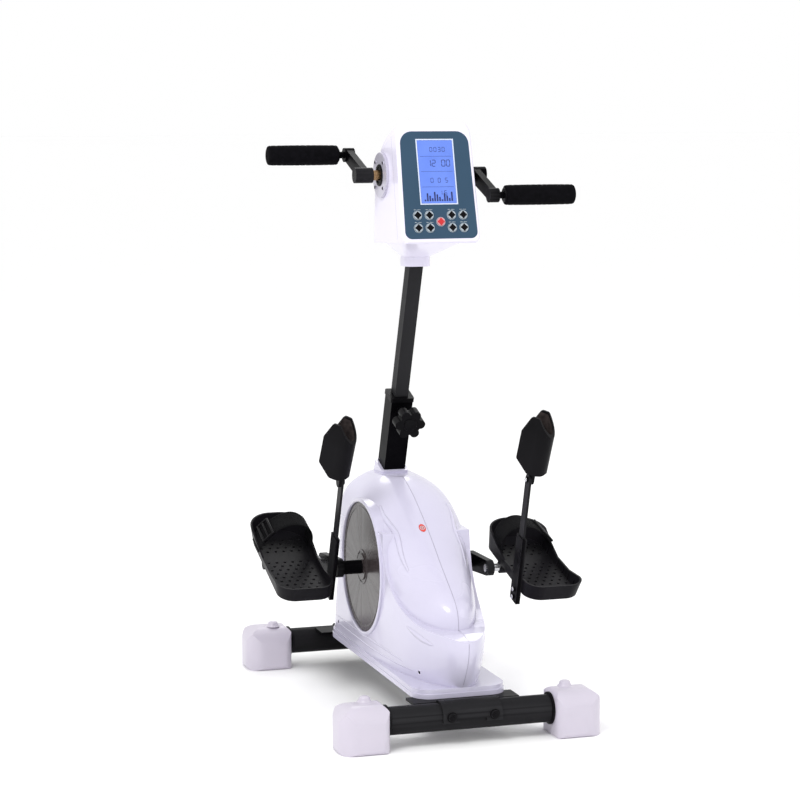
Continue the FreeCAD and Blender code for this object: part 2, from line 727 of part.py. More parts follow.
def power_recess(shell):
    """Flat recess in the right half's rear with an opening for the power module."""
    floor = power_pocket(POWER_MARGIN + SHELL_WALL, POWER_Y - SHELL_WALL)
    shell = shell.fuse(floor.common(half_housing(SHELL_WALL / 2)))
    shell = shell.cut(power_pocket(POWER_MARGIN, POWER_Y))
    opening = box(POWER_X0 + POWER_MARGIN, POWER_X1 - POWER_MARGIN, POWER_Y - POWER_DEPTH, POWER_Y,
                  POWER_Z0 + POWER_MARGIN, POWER_Z1 - POWER_MARGIN)
    return shell.cut(opening)


def badge():
    """Thin oval skin on the left half's slope."""
    axis = V(0, -math.sin(math.radians(BADGE_TILT)), math.cos(math.radians(BADGE_TILT)))
    oval = Part.Ellipse(ORIGIN, BADGE_HALF_H, BADGE_HALF_W).toShape()
    disc = Part.Face(Part.Wire(oval))
    disc.rotate(ORIGIN, AXIS_Z, 90)
    disc.rotate(ORIGIN, AXIS_X, BADGE_TILT)
    disc.translate(V(BADGE_X, BADGE_Y, BADGE_Z) - axis * BADGE_REACH / 2)
    post = disc.extrude(axis * BADGE_REACH)
    skin = mirrored(half_loft(BODY_SECTIONS, -BADGE_T)).common(post)
    return skin.cut(mirrored(half_loft(BODY_SECTIONS, 0.0)))


def build_housing():
    outer = half_housing(0.0)
    hollow = half_housing(SHELL_WALL)
    left = half_shell(outer.fuse(drum(0.0)), hollow.fuse(drum(SHELL_WALL)), DISC_HOLE_R)
    export(mirrored(left), "left_shell")
    export(power_recess(half_shell(outer, hollow, HUB_CAP_HOLE_R)), "right_shell")
    export(badge(), "shell_badge")


def build_power():
    plate = box(POWER_X0, POWER_X1, POWER_Y, POWER_Y + POWER_PLATE, POWER_Z0, POWER_Z1)
    inset = POWER_MARGIN + RUNNING
    module = plate.fuse(box(POWER_X0 + inset, POWER_X1 - inset, POWER_Y - POWER_DEPTH, POWER_Y,
                            POWER_Z0 + inset, POWER_Z1 - inset))
    outside = POWER_Y + POWER_PLATE
    margin = 2 * POWER_MARGIN
    module = module.cut(box(PLUG_X0, PLUG_X1, outside - PLUG_DEPTH, outside, POWER_Z0 + margin,
                            POWER_Z1 - margin))
    middle = (POWER_Z0 + POWER_Z1) / 2
    reach = ROCKER_HALF + ROCKER_GAP
    module = module.cut(box(ROCKER_X0, ROCKER_X1, outside - ROCKER_DEPTH, outside, middle - reach,
                            middle + reach))
    module = module.cut(rod_x(ROCKER_PIN_R + RUNNING, ROCKER_X0 - ROCKER_PIN_L,
                              ROCKER_X1 + ROCKER_PIN_L, ROCKER_PIVOT_Y, middle))
    export(module, "power_inlet")
    profile = ((ROCKER_FRONT, -ROCKER_HALF), (ROCKER_HOLLOW, 0.0), (ROCKER_FRONT, ROCKER_HALF),
               (ROCKER_BACK, ROCKER_BACK_HALF), (ROCKER_BACK, -ROCKER_BACK_HALF))
    rocker = prism_x(profile, ROCKER_X0 + ROCKER_GAP / 4, ROCKER_X1 - ROCKER_GAP / 4)
    rocker = rocker.fuse(rod_x(ROCKER_PIN_R, ROCKER_X0 - ROCKER_PIN_L / 2,
                               ROCKER_X1 + ROCKER_PIN_L / 2, 0, 0))
    rocker.rotate(ORIGIN, AXIS_X, ROCKER_REST)
    rocker.translate(V(0, ROCKER_PIVOT_Y, middle))
    export(rocker, "power_switch")


# Leg drive

def pulley(radius, hub_half, y, z):
    """Flat-belt pulley with raised rims and a hub."""
    wheel = rod_x(radius + PULLEY_RIM, -PULLEY_HALF, PULLEY_HALF, y, z)
    groove = rod_x(2 * radius, -PULLEY_GROOVE_HALF, PULLEY_GROOVE_HALF, y, z)
    groove = groove.cut(rod_x(radius, -PULLEY_GROOVE_HALF, PULLEY_GROOVE_HALF, y, z))
    hub = rod_x(min(PULLEY_HUB_R, radius / 2), -hub_half, hub_half, y, z)
    return wheel.cut(groove).fuse(hub)


def build_drive():
    wheel = pulley(DRIVE_PULLEY_R, PULLEY_HUB_HALF, CRANK_Y, CRANK_Z)
    for i in range(PULLEY_WINDOWS):
        place = polar(CRANK_Y, CRANK_Z, PULLEY_WINDOW_AT, 360 * i / PULLEY_WINDOWS)
        wheel = wheel.cut(rod_x(PULLEY_WINDOW_R, -PULLEY_HALF, PULLEY_HALF, *place))
    wheel = wheel.cut(rod_x(CRANK_AXLE_R + SNUG, -PULLEY_HUB_HALF, PULLEY_HUB_HALF, CRANK_Y,
                            CRANK_Z))
    export(wheel, "drive_pulley")
    small = pulley(MOTOR_PULLEY_R, PULLEY_HALF, MOTOR_Y, MOTOR_Z)
    small = small.fuse(rod_x(MOTOR_SHAFT_R, 0, MOTOR_SHAFT_END - RUNNING, MOTOR_Y, MOTOR_Z))
    export(small.removeSplitter(), "motor_pulley")
    motor = rod_x(MOTOR_R, MOTOR_IN, MOTOR_OUT, MOTOR_Y, MOTOR_Z)
    foot_y = (MOTOR_Y - MOTOR_FOOT_HALF, MOTOR_Y + MOTOR_FOOT_HALF)
    motor = motor.fuse(box(MOTOR_IN, MOTOR_OUT, *foot_y, SPINE_Z1 + PLATE_T / 2, MOTOR_Z))
    motor = motor.fuse(box(-SPINE_HALF, MOTOR_OUT, *foot_y, SPINE_Z1, SPINE_Z1 + PLATE_T))
    motor = motor.cut(rod_x(MOTOR_SHAFT_R + RUNNING, MOTOR_IN, MOTOR_SHAFT_END, MOTOR_Y, MOTOR_Z))
    export(motor, "drive_motor")
    ends = ((CRANK_Y, CRANK_Z), (MOTOR_Y, MOTOR_Z))
    inner = (DRIVE_PULLEY_R + BELT_GAP, MOTOR_PULLEY_R + BELT_GAP)
    belt = slot_link(inner[0] + BELT_T, inner[1] + BELT_T, *ends, -BELT_HALF, BELT_HALF)
    belt = belt.cut(slot_link(*inner, *ends, -BELT_HALF, BELT_HALF))
    export(belt, "drive_belt")


def crank_disc(radius):
    """Disc with its hub, pressed on the right end of the axle."""
    disc = rod_x(radius, DISC_IN, DISC_OUT, CRANK_Y, CRANK_Z)
    disc = disc.fuse(rod_x(DISC_HUB_R, DISC_HUB_IN, DISC_HUB_OUT, CRANK_Y, CRANK_Z))
    return disc.cut(rod_x(CRANK_AXLE_R + SNUG, DISC_HUB_IN, DISC_HUB_OUT, CRANK_Y, CRANK_Z))


def build_crank_axle():
    axle = rod_x(CRANK_AXLE_R, -CRANK_AXLE_END, CRANK_AXLE_END, CRANK_Y, CRANK_Z)
    export(axle, "crank_axle")
    rings = []
    for x0, x1 in ((-BEARING_OUT, -BEARING_IN), (BEARING_IN, BEARING_OUT)):
        ring = rod_x(BEARING_R, x0, x1, CRANK_Y, CRANK_Z)
        rings.append(ring.cut(rod_x(CRANK_AXLE_R + RUNNING, x0, x1, CRANK_Y, CRANK_Z)))
    export(Part.makeCompound(rings), "crank_bearings")
    export(crank_disc(HUB_CAP_R), "right_crank_disc")
    export(mirrored(crank_disc(DISC_R)), "left_crank_disc")


def crank_arm(place):
    """Right-hand crank arm from the axle to a spindle at the given place."""
    arm = slot_link(CRANK_ARM_R0, CRANK_ARM_R1, (CRANK_Y, CRANK_Z), place, CRANK_ARM_IN,
                    CRANK_ARM_OUT)
    arm = arm.fuse(rod_x(CRANK_BOSS_R, CRANK_BOSS_IN, CRANK_ARM_OUT, CRANK_Y, CRANK_Z))
    arm = arm.cut(rod_x(CRANK_AXLE_R + SNUG, CRANK_BOSS_IN, CRANK_AXLE_END, CRANK_Y, CRANK_Z))
    return arm.cut(rod_x(SPINDLE_R + SNUG, CRANK_ARM_IN, CRANK_ARM_OUT, *place))


def build_cranks():
    for side, angle in (("left", LEFT_CRANK_ANGLE), ("right", RIGHT_CRANK_ANGLE)):
        place = polar(CRANK_Y, CRANK_Z, CRANK_R, angle)
        arm = crank_arm(place)
        spindle = rod_x(SPINDLE_R, SPINDLE_IN, SPINDLE_OUT, *place)
        if side == "left":
            arm = mirrored(arm)
            spindle = mirrored(spindle)
        export(arm, side + "_crank_arm")
        export(spindle, side + "_pedal_spindle")


# Pedals, built at +X in the pedal frame

def tray_outline(inset, level):
    """Plan outline of the tray; level 0 is the sole's underside and 1 the highest rim."""
    inner = TRAY_IN + inset
    outer = TRAY_OUT_LOW + (TRAY_OUT_RIM - TRAY_OUT_LOW) * level - inset
    heel = TRAY_HEEL_LOW + (TRAY_HEEL_RIM - TRAY_HEEL_LOW) * level + inset
    toe = TRAY_TOE_LOW + (TRAY_TOE_RIM - TRAY_TOE_LOW) * level - inset
    v = TRAY_V0 + (TRAY_V1 - TRAY_V0) * level
    corners = [V(inner, heel, v), V(outer, heel, v), V(outer, toe, v), V(inner, toe, v)]
    heel_r = HEEL_CORNER_R - inset
    toe_r = TOE_CORNER_R - inset
    return rounded_wire(corners, [heel_r, heel_r, toe_r, toe_r])


def tray_form(inset):
    return Part.makeLoft([tray_outline(inset, 0.0), tray_outline(inset, 1.0)], True, True)


def foot_tray():
    far = 2 * TRAY_OUT_RIM
    rim = prism_x(RIM_PROFILE + ((TRAY_V1 * 2, TRAY_V1), (TRAY_V1 * 2, -TRAY_V1),
                                 (RIM_PROFILE[0][0], -TRAY_V1)), 0, far)
    tray = tray_form(0.0).common(rim)
    floor = box(0, far, -far, far, -far, TRAY_V0 + SOLE_T)
    tray = tray.cut(tray_form(TRAY_WALL).cut(floor))
    tray = tray.fuse(rod_x(PEDAL_BOSS_R, TRAY_IN, PEDAL_BOSS_OUT, 0, 0))
    holes = []
    for row in range(SOLE_HOLE_ROWS):
        u = SOLE_HOLE_U0 + SOLE_HOLE_STEP_U * row
        for column in range(SOLE_HOLE_COLUMNS):
            x = SOLE_HOLE_X0 + SOLE_HOLE_STEP_X * (column + (row % 2) / 2)
            if abs(u) > PEDAL_BOSS_R + SOLE_HOLE_R:
                holes.append(rod_z(SOLE_HOLE_R, x, u, 0, TRAY_V1))
    tray = tray.cut(Part.makeCompound(holes))
    return tray.cut(rod_x(SPINDLE_R + RUNNING, 0, SPINDLE_OUT + RUNNING, 0, 0))


def foot_strap(tray):
    """Webbing arched over the instep, its ends flush with the insides of the tray's walls."""
    path = ((STRAP_IN, STRAP_FOOT_IN),) + STRAP_ARCH + ((STRAP_OUT, STRAP_FOOT_OUT),)
    curve = Part.BSplineCurve()
    curve.interpolate([V(x, STRAP_U0, v) for x, v in path])
    ribbon = curve.toShape().extrude(V(0, STRAP_U1 - STRAP_U0, 0))
    webbing = ribbon.makeOffsetShape(STRAP_T, 0.001, fill=True)
    return max(webbing.cut(tray).Solids, key=lambda solid: solid.Volume)


def post_sleeve():
    u0 = SLEEVE_U - SLEEVE_HALF_U
    u1 = SLEEVE_U + SLEEVE_HALF_U
    sleeve = box(SLEEVE_IN, SLEEVE_OUT, u0, u1, SLEEVE_V0, SLEEVE_V1)
    half = POST_HALF_U + POST_GAP
    sleeve = sleeve.cut(box(POST_IN - POST_GAP, POST_IN + POST_T + POST_GAP, SLEEVE_U - half,
                            SLEEVE_U + half, SLEEVE_RIVETS[-1] + RIVET_R, SLEEVE_V1))
    for v in SLEEVE_RIVETS:
        sleeve = sleeve.fuse(rod_x(RIVET_R, SLEEVE_IN - RIVET_H, SLEEVE_IN + RIVET_H, SLEEVE_U, v))
    return sleeve


def calf_post():
    post = box(POST_IN, POST_IN + POST_T, SLEEVE_U - POST_HALF_U, SLEEVE_U + POST_HALF_U, POST_V0,
               PIVOT_V)
    post = post.fuse(rod_x(POST_HALF_U, POST_IN, POST_IN + POST_T, SLEEVE_U, PIVOT_V))
    post = post.cut(rod_x(PIVOT_R + RUNNING, POST_IN, POST_IN + POST_T, SLEEVE_U, PIVOT_V))
    return post.removeSplitter()


def trough(half, back, depth):
    """Long U-shaped bar, rounded at its back and open at its front."""
    z = -CUP_BLANK_HALF
    bend = Part.Arc(V(half, back + half, z), V(0, back, z), V(-half, back + half, z)).toShape()
    rest = Part.makePolygon([V(-half, back + half, z), V(-half, depth, z), V(half, depth, z),
                             V(half, back + half, z)])
    return Part.Face(Part.Wire([bend] + rest.Edges)).extrude(V(0, 0, 2 * CUP_BLANK_HALF))


def cup_shell():
    corners = [V(-2 * CUP_HALF, y, z) for y, z in CUP_PROFILE]
    outline = rounded_prism(corners, [CUP_CORNER_R] * len(corners), V(4 * CUP_HALF, 0, 0))
    blank = trough(CUP_HALF, 0.0, 2 * CUP_DEPTH)
    hollow = trough(CUP_HALF - CUP_WALL, CUP_WALL, 4 * CUP_DEPTH)
    floor = blank.common(box(-CUP_HALF, CUP_HALF, 0, CUP_FLOOR_DEPTH, CUP_FLOOR_Z0, CUP_FLOOR_Z1))
    return blank.cut(hollow).fuse(floor).common(outline)


def calf_cup(turn):
    """Cup turned about its post, with the lug and the pin that it swivels on."""
    cup = cup_shell()
    cup.translate(V(0, -CUP_DEPTH / 2, 0))
    cup.rotate(ORIGIN, AXIS_X, CUP_TILT)
    cup.rotate(ORIGIN, AXIS_Z, turn)
    cup.translate(V(CUP_CENTRE, SLEEVE_U, PIVOT_V + CUP_RISE))
    lug_in = POST_IN + POST_T + 2 * POST_GAP
    lug_out = lug_in + LUG_T
    lug = prism_x([(SLEEVE_U + u, PIVOT_V + v) for u, v in LUG_PROFILE], lug_in, lug_out)
    lug = lug.fuse(rod_x(LUG_R, lug_in, lug_out, SLEEVE_U, PIVOT_V))
    cup = cup.fuse(lug)
    cup = cup.fuse(rod_x(PIVOT_R, POST_IN - PIVOT_HEAD_T, lug_in + PIVOT_HEAD_T, SLEEVE_U,
                         PIVOT_V))
    head_out = POST_IN - POST_GAP
    return cup.fuse(rod_x(PIVOT_HEAD_R, head_out - PIVOT_HEAD_T, head_out, SLEEVE_U, PIVOT_V))


def build_pedals():
    tray = foot_tray()
    pieces = (("foot_tray", tray), ("foot_strap", foot_strap(tray)),
              ("post_sleeve", post_sleeve()), ("calf_post", calf_post()))
    sides = (("left", LEFT_CRANK_ANGLE, LEFT_PEDAL_TILT, LEFT_CUP_TURN),
             ("right", RIGHT_CRANK_ANGLE, RIGHT_PEDAL_TILT, RIGHT_CUP_TURN))
    for side, angle, tilt, turn in sides:
        place = polar(CRANK_Y, CRANK_Z, CRANK_R, angle)
        for name, piece in pieces + (("calf_cup", calf_cup(turn)),):
            shape = on_spindle(piece, place, tilt)
            if side == "left":
                shape = mirrored(shape)
            export(shape, side + "_" + name)


# Upper unit

def build_inner_tube():
    tube = square_bar(MAST_INNER_HALF, MAST_INNER_S0, MAST_INNER_S1)
    bore = MAST_INNER_HALF - MAST_INNER_WALL
    tube = tube.cut(square_bar(bore, MAST_INNER_S0, MAST_INNER_S1))
    export(on_mast(tube), "mast_inner_tube")


def console_form(inset):
    """Console's outer form, or its hollow when inset by the wall."""
    wire = Part.makePolygon([V(0, y, z) for y, z in CONSOLE_SIDE + (CONSOLE_SIDE[0],)])
    if inset > 0:
        wire = wire.makeOffset2D(-inset, 2)
    half = CONSOLE_HALF - inset
    body = Part.Face(wire).extrude(V(half, 0, 0)).fuse(Part.Face(wire).extrude(V(-half, 0, 0)))
    top_half = CONSOLE_TOP_HALF - inset
    corners = [V(-half, 0, CONSOLE_LOW + inset), V(half, 0, CONSOLE_LOW + inset),
               V(top_half, 0, CONSOLE_HIGH - inset), V(-top_half, 0, CONSOLE_HIGH - inset)]
    corners = [corner - V(0, CONSOLE_HALF, 0) for corner in corners]
    radii = [CONSOLE_LOW_R, CONSOLE_LOW_R, CONSOLE_HIGH_R, CONSOLE_HIGH_R]
    front = on_face(rounded_prism(corners, [radius - inset for radius in radii],
                                  V(0, 4 * CONSOLE_HALF, 0)))
    return body.common(front).removeSplitter()


def neck_form(inset):
    top = [V(-NECK_TOP_HALF + inset, NECK_TOP_Y0 + inset, NECK_TOP_Z),
           V(NECK_TOP_HALF - inset, NECK_TOP_Y0 + inset, NECK_TOP_Z),
           V(NECK_TOP_HALF - inset, NECK_TOP_Y1 - inset, NECK_TOP_Z),
           V(-NECK_TOP_HALF + inset, NECK_TOP_Y1 - inset, NECK_TOP_Z)]
    middle = [V(-NECK_MID_HALF + inset, NECK_MID_Y0 + inset, NECK_MID_Z),
              V(NECK_MID_HALF - inset, NECK_MID_Y0 + inset, NECK_MID_Z),
              V(NECK_MID_HALF - inset, NECK_MID_Y1 - inset, NECK_MID_Z),
              V(-NECK_MID_HALF + inset, NECK_MID_Y1 - inset, NECK_MID_Z)]
    radii = [CONSOLE_LOW_R - inset] * len(top)
    funnel = Part.makeLoft([rounded_wire(top, radii), rounded_wire(middle, radii)], True, True)
    stem = rounded_prism([corner + V(0, 0, NECK_LOW_Z - NECK_MID_Z) for corner in middle], radii,
                         V(0, 0, NECK_MID_Z - NECK_LOW_Z))
    return funnel, stem


def face_plate(margin, y0, y1):
    """Slab in the shape of the face panel, grown or shrunk by a margin, in the face frame."""
    low = PANEL_P0 - margin
    high = PANEL_P1 + margin
    half_low = PANEL_HALF_LOW + margin
    half_high = PANEL_HALF_HIGH + margin
    corners = [V(-half_low, y0, low), V(half_low, y0, low), V(half_high, y0, high),
               V(-half_high, y0, high)]
    radii = [PANEL_LOW_R, PANEL_LOW_R, PANEL_HIGH_R, PANEL_HIGH_R]
    return rounded_prism(corners, radii, V(0, y1 - y0, 0))


def display_slab(margin, y0, y1):
    return box(-DISPLAY_HALF_W - margin, DISPLAY_HALF_W + margin, y0, y1,
               DISPLAY_P - DISPLAY_HALF_H - margin, DISPLAY_P + DISPLAY_HALF_H + margin)


def face_openings(y1):
    """Openings for the display and the buttons, from the face to a depth y1."""
    tools = [display_slab(RUNNING, -PANEL_T, y1)]
    for x, p in BUTTON_PLACES:
        tools.append(rod_y(BUTTON_R + BUTTON_GAP, x, -PANEL_T, y1, p))
    return tools


def build_console():
    outer = console_form(0.0)
    edges = []
    normal = V(0, -math.cos(math.radians(FACE_TILT)), math.sin(math.radians(FACE_TILT)))
    for face in outer.Faces:
        if abs(face.normalAt(0, 0).dot(normal) - 1) < 0.001:
            edges.extend(face.Edges)
    outer = outer.makeFillet(CONSOLE_EDGE_R, edges)
    funnel, stem = neck_form(0.0)
    outer = outer.fuse([funnel, stem])
    hollow = console_form(CONSOLE_WALL)
    inner_funnel = neck_form(CONSOLE_WALL)[0]
    inner_funnel.translate(V(0, 0, CONSOLE_WALL))
    hollow = hollow.fuse(inner_funnel)
    reach = 4 * CONSOLE_HALF
    wall = on_face(box(-reach, reach, -reach, CONSOLE_FACE_WALL, -reach, reach))
    shell = outer.cut(hollow.cut(wall))
    shell = shell.cut(on_mast(square_bar(MAST_INNER_HALF + RUNNING, MAST_INNER_S0, MAST_INNER_S1)))
    shell = shell.cut(rod_x(AXLE_HOLE_R, -CONSOLE_HALF, CONSOLE_HALF, HAND_Y, HAND_Z))
    shell = shell.cut(on_face(face_plate(0.0, 0.0, PANEL_T)))
    seat = rod_x(FLANGE_DISC_R + SNUG, FLANGE_DISC_IN, CONSOLE_HALF, HAND_Y, HAND_Z)
    shell = shell.cut(Part.makeCompound([seat, mirrored(seat)]))
    for tool in face_openings(2 * CONSOLE_FACE_WALL):
        shell = shell.cut(on_face(tool))
    front_half = on_face(box(-reach, reach, -reach, CONSOLE_SPLIT, -reach, reach))
    export(shell.common(front_half), "console_front_shell")
    export(shell.cut(front_half), "console_rear_shell")


def build_face():
    panel = face_plate(-SNUG, 0.0, PANEL_T)
    for tool in face_openings(PANEL_T):
        panel = panel.cut(tool)
    export(on_face(panel), "face_panel")
    module = display_slab(0.0, -DISPLAY_PROUD, DISPLAY_BACK)
    module = module.fuse(display_slab(DISPLAY_LEDGE, CONSOLE_FACE_WALL, DISPLAY_BACK))
    module = module.cut(box(-SCREEN_HALF_W, SCREEN_HALF_W, -DISPLAY_PROUD,
                            SCREEN_DEPTH - DISPLAY_PROUD, DISPLAY_P - SCREEN_HALF_H,
                            DISPLAY_P + SCREEN_HALF_H))
    export(on_face(module), "display_module")
    for i, (x, p) in enumerate(BUTTON_PLACES):
        button = rod_y(BUTTON_R, x, -BUTTON_PROUD, CONSOLE_FACE_WALL + BUTTON_FLANGE_T, p)
        button = button.fuse(rod_y(BUTTON_CAP_R, x, -BUTTON_PROUD - BUTTON_CAP_H, 0, p))
        button = button.fuse(rod_y(BUTTON_FLANGE_R, x, CONSOLE_FACE_WALL + RUNNING,
                                   CONSOLE_FACE_WALL + BUTTON_FLANGE_T, p))
        export(on_face(button.removeSplitter()), "button_" + str(i + 1))


def build_hand_unit():
    block = rod_x(BEARING_BLOCK_R, -BEARING_BLOCK_END, BEARING_BLOCK_END, HAND_Y, HAND_Z)
    block = block.fuse(on_mast(square_bar(SOCKET_HALF, SOCKET_S0, SOCKET_S1)))
    block = block.cut(on_mast(square_bar(MAST_INNER_HALF + SNUG, MAST_INNER_S0, MAST_INNER_S1)))
    block = block.cut(rod_x(HAND_AXLE_R + RUNNING, -BEARING_BLOCK_END, BEARING_BLOCK_END, HAND_Y,
                            HAND_Z))
    export(block, "hand_bearing_block")
    disc = rod_x(FLANGE_DISC_R, FLANGE_DISC_IN, FLANGE_DISC_OUT, HAND_Y, HAND_Z)
    for angle in FLANGE_SCREW_ANGLES:
        place = polar(HAND_Y, HAND_Z, FLANGE_SCREW_AT, angle)
        disc = disc.fuse(rod_x(FLANGE_SCREW_R, FLANGE_DISC_IN, FLANGE_DISC_OUT + FLANGE_SCREW_H,
                               *place))
    disc = disc.cut(rod_x(HAND_AXLE_R + RUNNING, FLANGE_DISC_IN, FLANGE_DISC_OUT, HAND_Y, HAND_Z))
    export(disc, "right_axle_flange")
    export(mirrored(disc), "left_axle_flange")
    axle = rod_x(HAND_AXLE_R, -HAND_AXLE_END, HAND_AXLE_END, HAND_Y, HAND_Z)
    collar = rod_x(HAND_COLLAR_R, HAND_COLLAR_IN, HAND_BOSS_IN, HAND_Y, HAND_Z)
    axle = axle.fuse([collar, mirrored(collar)])
    export(axle, "hand_axle")


def hand_crank(place):
    """Right-hand crank from the hand axle to a grip spindle at the given place."""
    crank = rod_x(HAND_BOSS_R, HAND_BOSS_IN, HAND_BOSS_OUT, HAND_Y, HAND_Z)
    crank = crank.fuse(slot_link(HAND_ARM_R0, HAND_ARM_R1, (HAND_Y, HAND_Z), place, HAND_ARM_IN,
                                 HAND_ARM_OUT))
    crank = crank.fuse(rod_x(KNUCKLE_R, KNUCKLE_IN, KNUCKLE_OUT, *place))
    crank = crank.cut(rod_x(HAND_AXLE_R + SNUG, HAND_BOSS_IN, HAND_AXLE_END, HAND_Y, HAND_Z))
    return crank.fuse(rod_x(GRIP_SPINDLE_R, KNUCKLE_IN, GRIP_SPINDLE_END, *place))


def hand_grip(place):
    grip = rod_x(GRIP_R, GRIP_IN, GRIP_OUT, *place)
    grip = grip.makeFillet(GRIP_EDGE, [edge for edge in grip.Edges if edge.Closed])
    return grip.cut(rod_x(GRIP_SPINDLE_R + RUNNING, GRIP_IN, GRIP_SPINDLE_END + RUNNING, *place))


def build_hand_cranks():
    for side, angle in (("left", LEFT_HAND_ANGLE), ("right", RIGHT_HAND_ANGLE)):
        place = polar(HAND_Y, HAND_Z, HAND_R, angle)
        crank = hand_crank(place)
        grip = hand_grip(place)
        if side == "left":
            crank = mirrored(crank)
            grip = mirrored(grip)
        export(crank, side + "_hand_crank")
        export(grip, side + "_hand_grip")


os.makedirs("parts", exist_ok=True)
export(base_tube(-1), "front_base_tube")
export(base_tube(1), "rear_base_tube")
build_feet()
build_frame()
build_bolts()
build_bushing()
build_knob()
build_housing()
build_power()
build_drive()
build_crank_axle()
build_cranks()
build_pedals()
build_inner_tube()
build_console()
build_face()
build_hand_unit()
build_hand_cranks()
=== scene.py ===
import json
import math

import bmesh
import bpy
from mathutils import Matrix, Vector
from mathutils.bvhtree import BVHTree


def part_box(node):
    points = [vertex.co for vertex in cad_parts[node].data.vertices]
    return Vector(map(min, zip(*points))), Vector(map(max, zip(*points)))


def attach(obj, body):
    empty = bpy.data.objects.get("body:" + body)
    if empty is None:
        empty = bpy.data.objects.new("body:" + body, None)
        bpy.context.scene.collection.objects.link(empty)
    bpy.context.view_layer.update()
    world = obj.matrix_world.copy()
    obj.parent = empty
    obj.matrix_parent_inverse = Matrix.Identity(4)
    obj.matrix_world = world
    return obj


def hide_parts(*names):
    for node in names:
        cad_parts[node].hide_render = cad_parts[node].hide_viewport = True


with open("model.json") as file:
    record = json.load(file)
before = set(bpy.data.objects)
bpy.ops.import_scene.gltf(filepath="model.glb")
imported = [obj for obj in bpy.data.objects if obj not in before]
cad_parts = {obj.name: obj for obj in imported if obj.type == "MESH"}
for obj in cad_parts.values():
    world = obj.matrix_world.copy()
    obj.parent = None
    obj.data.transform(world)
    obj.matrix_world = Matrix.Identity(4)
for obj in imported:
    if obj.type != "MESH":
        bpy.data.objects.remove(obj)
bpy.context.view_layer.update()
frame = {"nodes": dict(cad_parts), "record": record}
NODES = frame["nodes"]

# Places taken from the CAD, in metres and degrees

CRANK_Y = 0.0345
CRANK_Z = 0.240
CRANK_R = 0.100
# Each side's direction, crank angle, pedal tilt and calf cup turn
SIDES = {"left": (-1, -2.3, 20.0, -45.0), "right": (1, 177.7, 16.0, 45.0)}
HAND_Y = -0.0485
HAND_Z = 0.948
HAND_R = 0.1006
HAND_ANGLES = {"left": 19.2, "right": 199.2}
FACE_Y = -0.1465
FACE_Z = 0.934
FACE_TILT = 15.0
MAST_FOOT = Vector((0, 0.2473, 0.046))
MAST_LEAN = 19.6


def pedal_frame(side):
    """Pedal's own frame, x outward, y towards the toes and z up through the sole."""
    sign, crank, tilt, _ = SIDES[side]
    angle = math.radians(crank)
    place = Vector((0, CRANK_Y + CRANK_R * math.cos(angle), CRANK_Z + CRANK_R * math.sin(angle)))
    return (Matrix.Diagonal((sign, 1, 1, 1)) @ Matrix.Translation(place)
            @ Matrix.Rotation(math.radians(tilt), 4, "X"))


def cup_frame(side):
    """Calf cup's own frame, y into the cup from its back and z along it."""
    turn = SIDES[side][3]
    return (pedal_frame(side) @ Matrix.Translation((0.150, -0.100, 0.286))
            @ Matrix.Rotation(math.radians(turn), 4, "Z")
            @ Matrix.Rotation(math.radians(5), 4, "X") @ Matrix.Translation((0, -0.026, 0)))


def face_frame():
    """Console face's frame, y into the console and z up the face."""
    return (Matrix.Translation((0, FACE_Y, FACE_Z))
            @ Matrix.Rotation(math.radians(-FACE_TILT), 4, "X"))


def mast_frame():
    return Matrix.Translation(MAST_FOOT) @ Matrix.Rotation(math.radians(MAST_LEAN), 4, "X")


def grip_place(side):
    angle = math.radians(HAND_ANGLES[side])
    return HAND_Y + HAND_R * math.cos(angle), HAND_Z + HAND_R * math.sin(angle)


# Materials


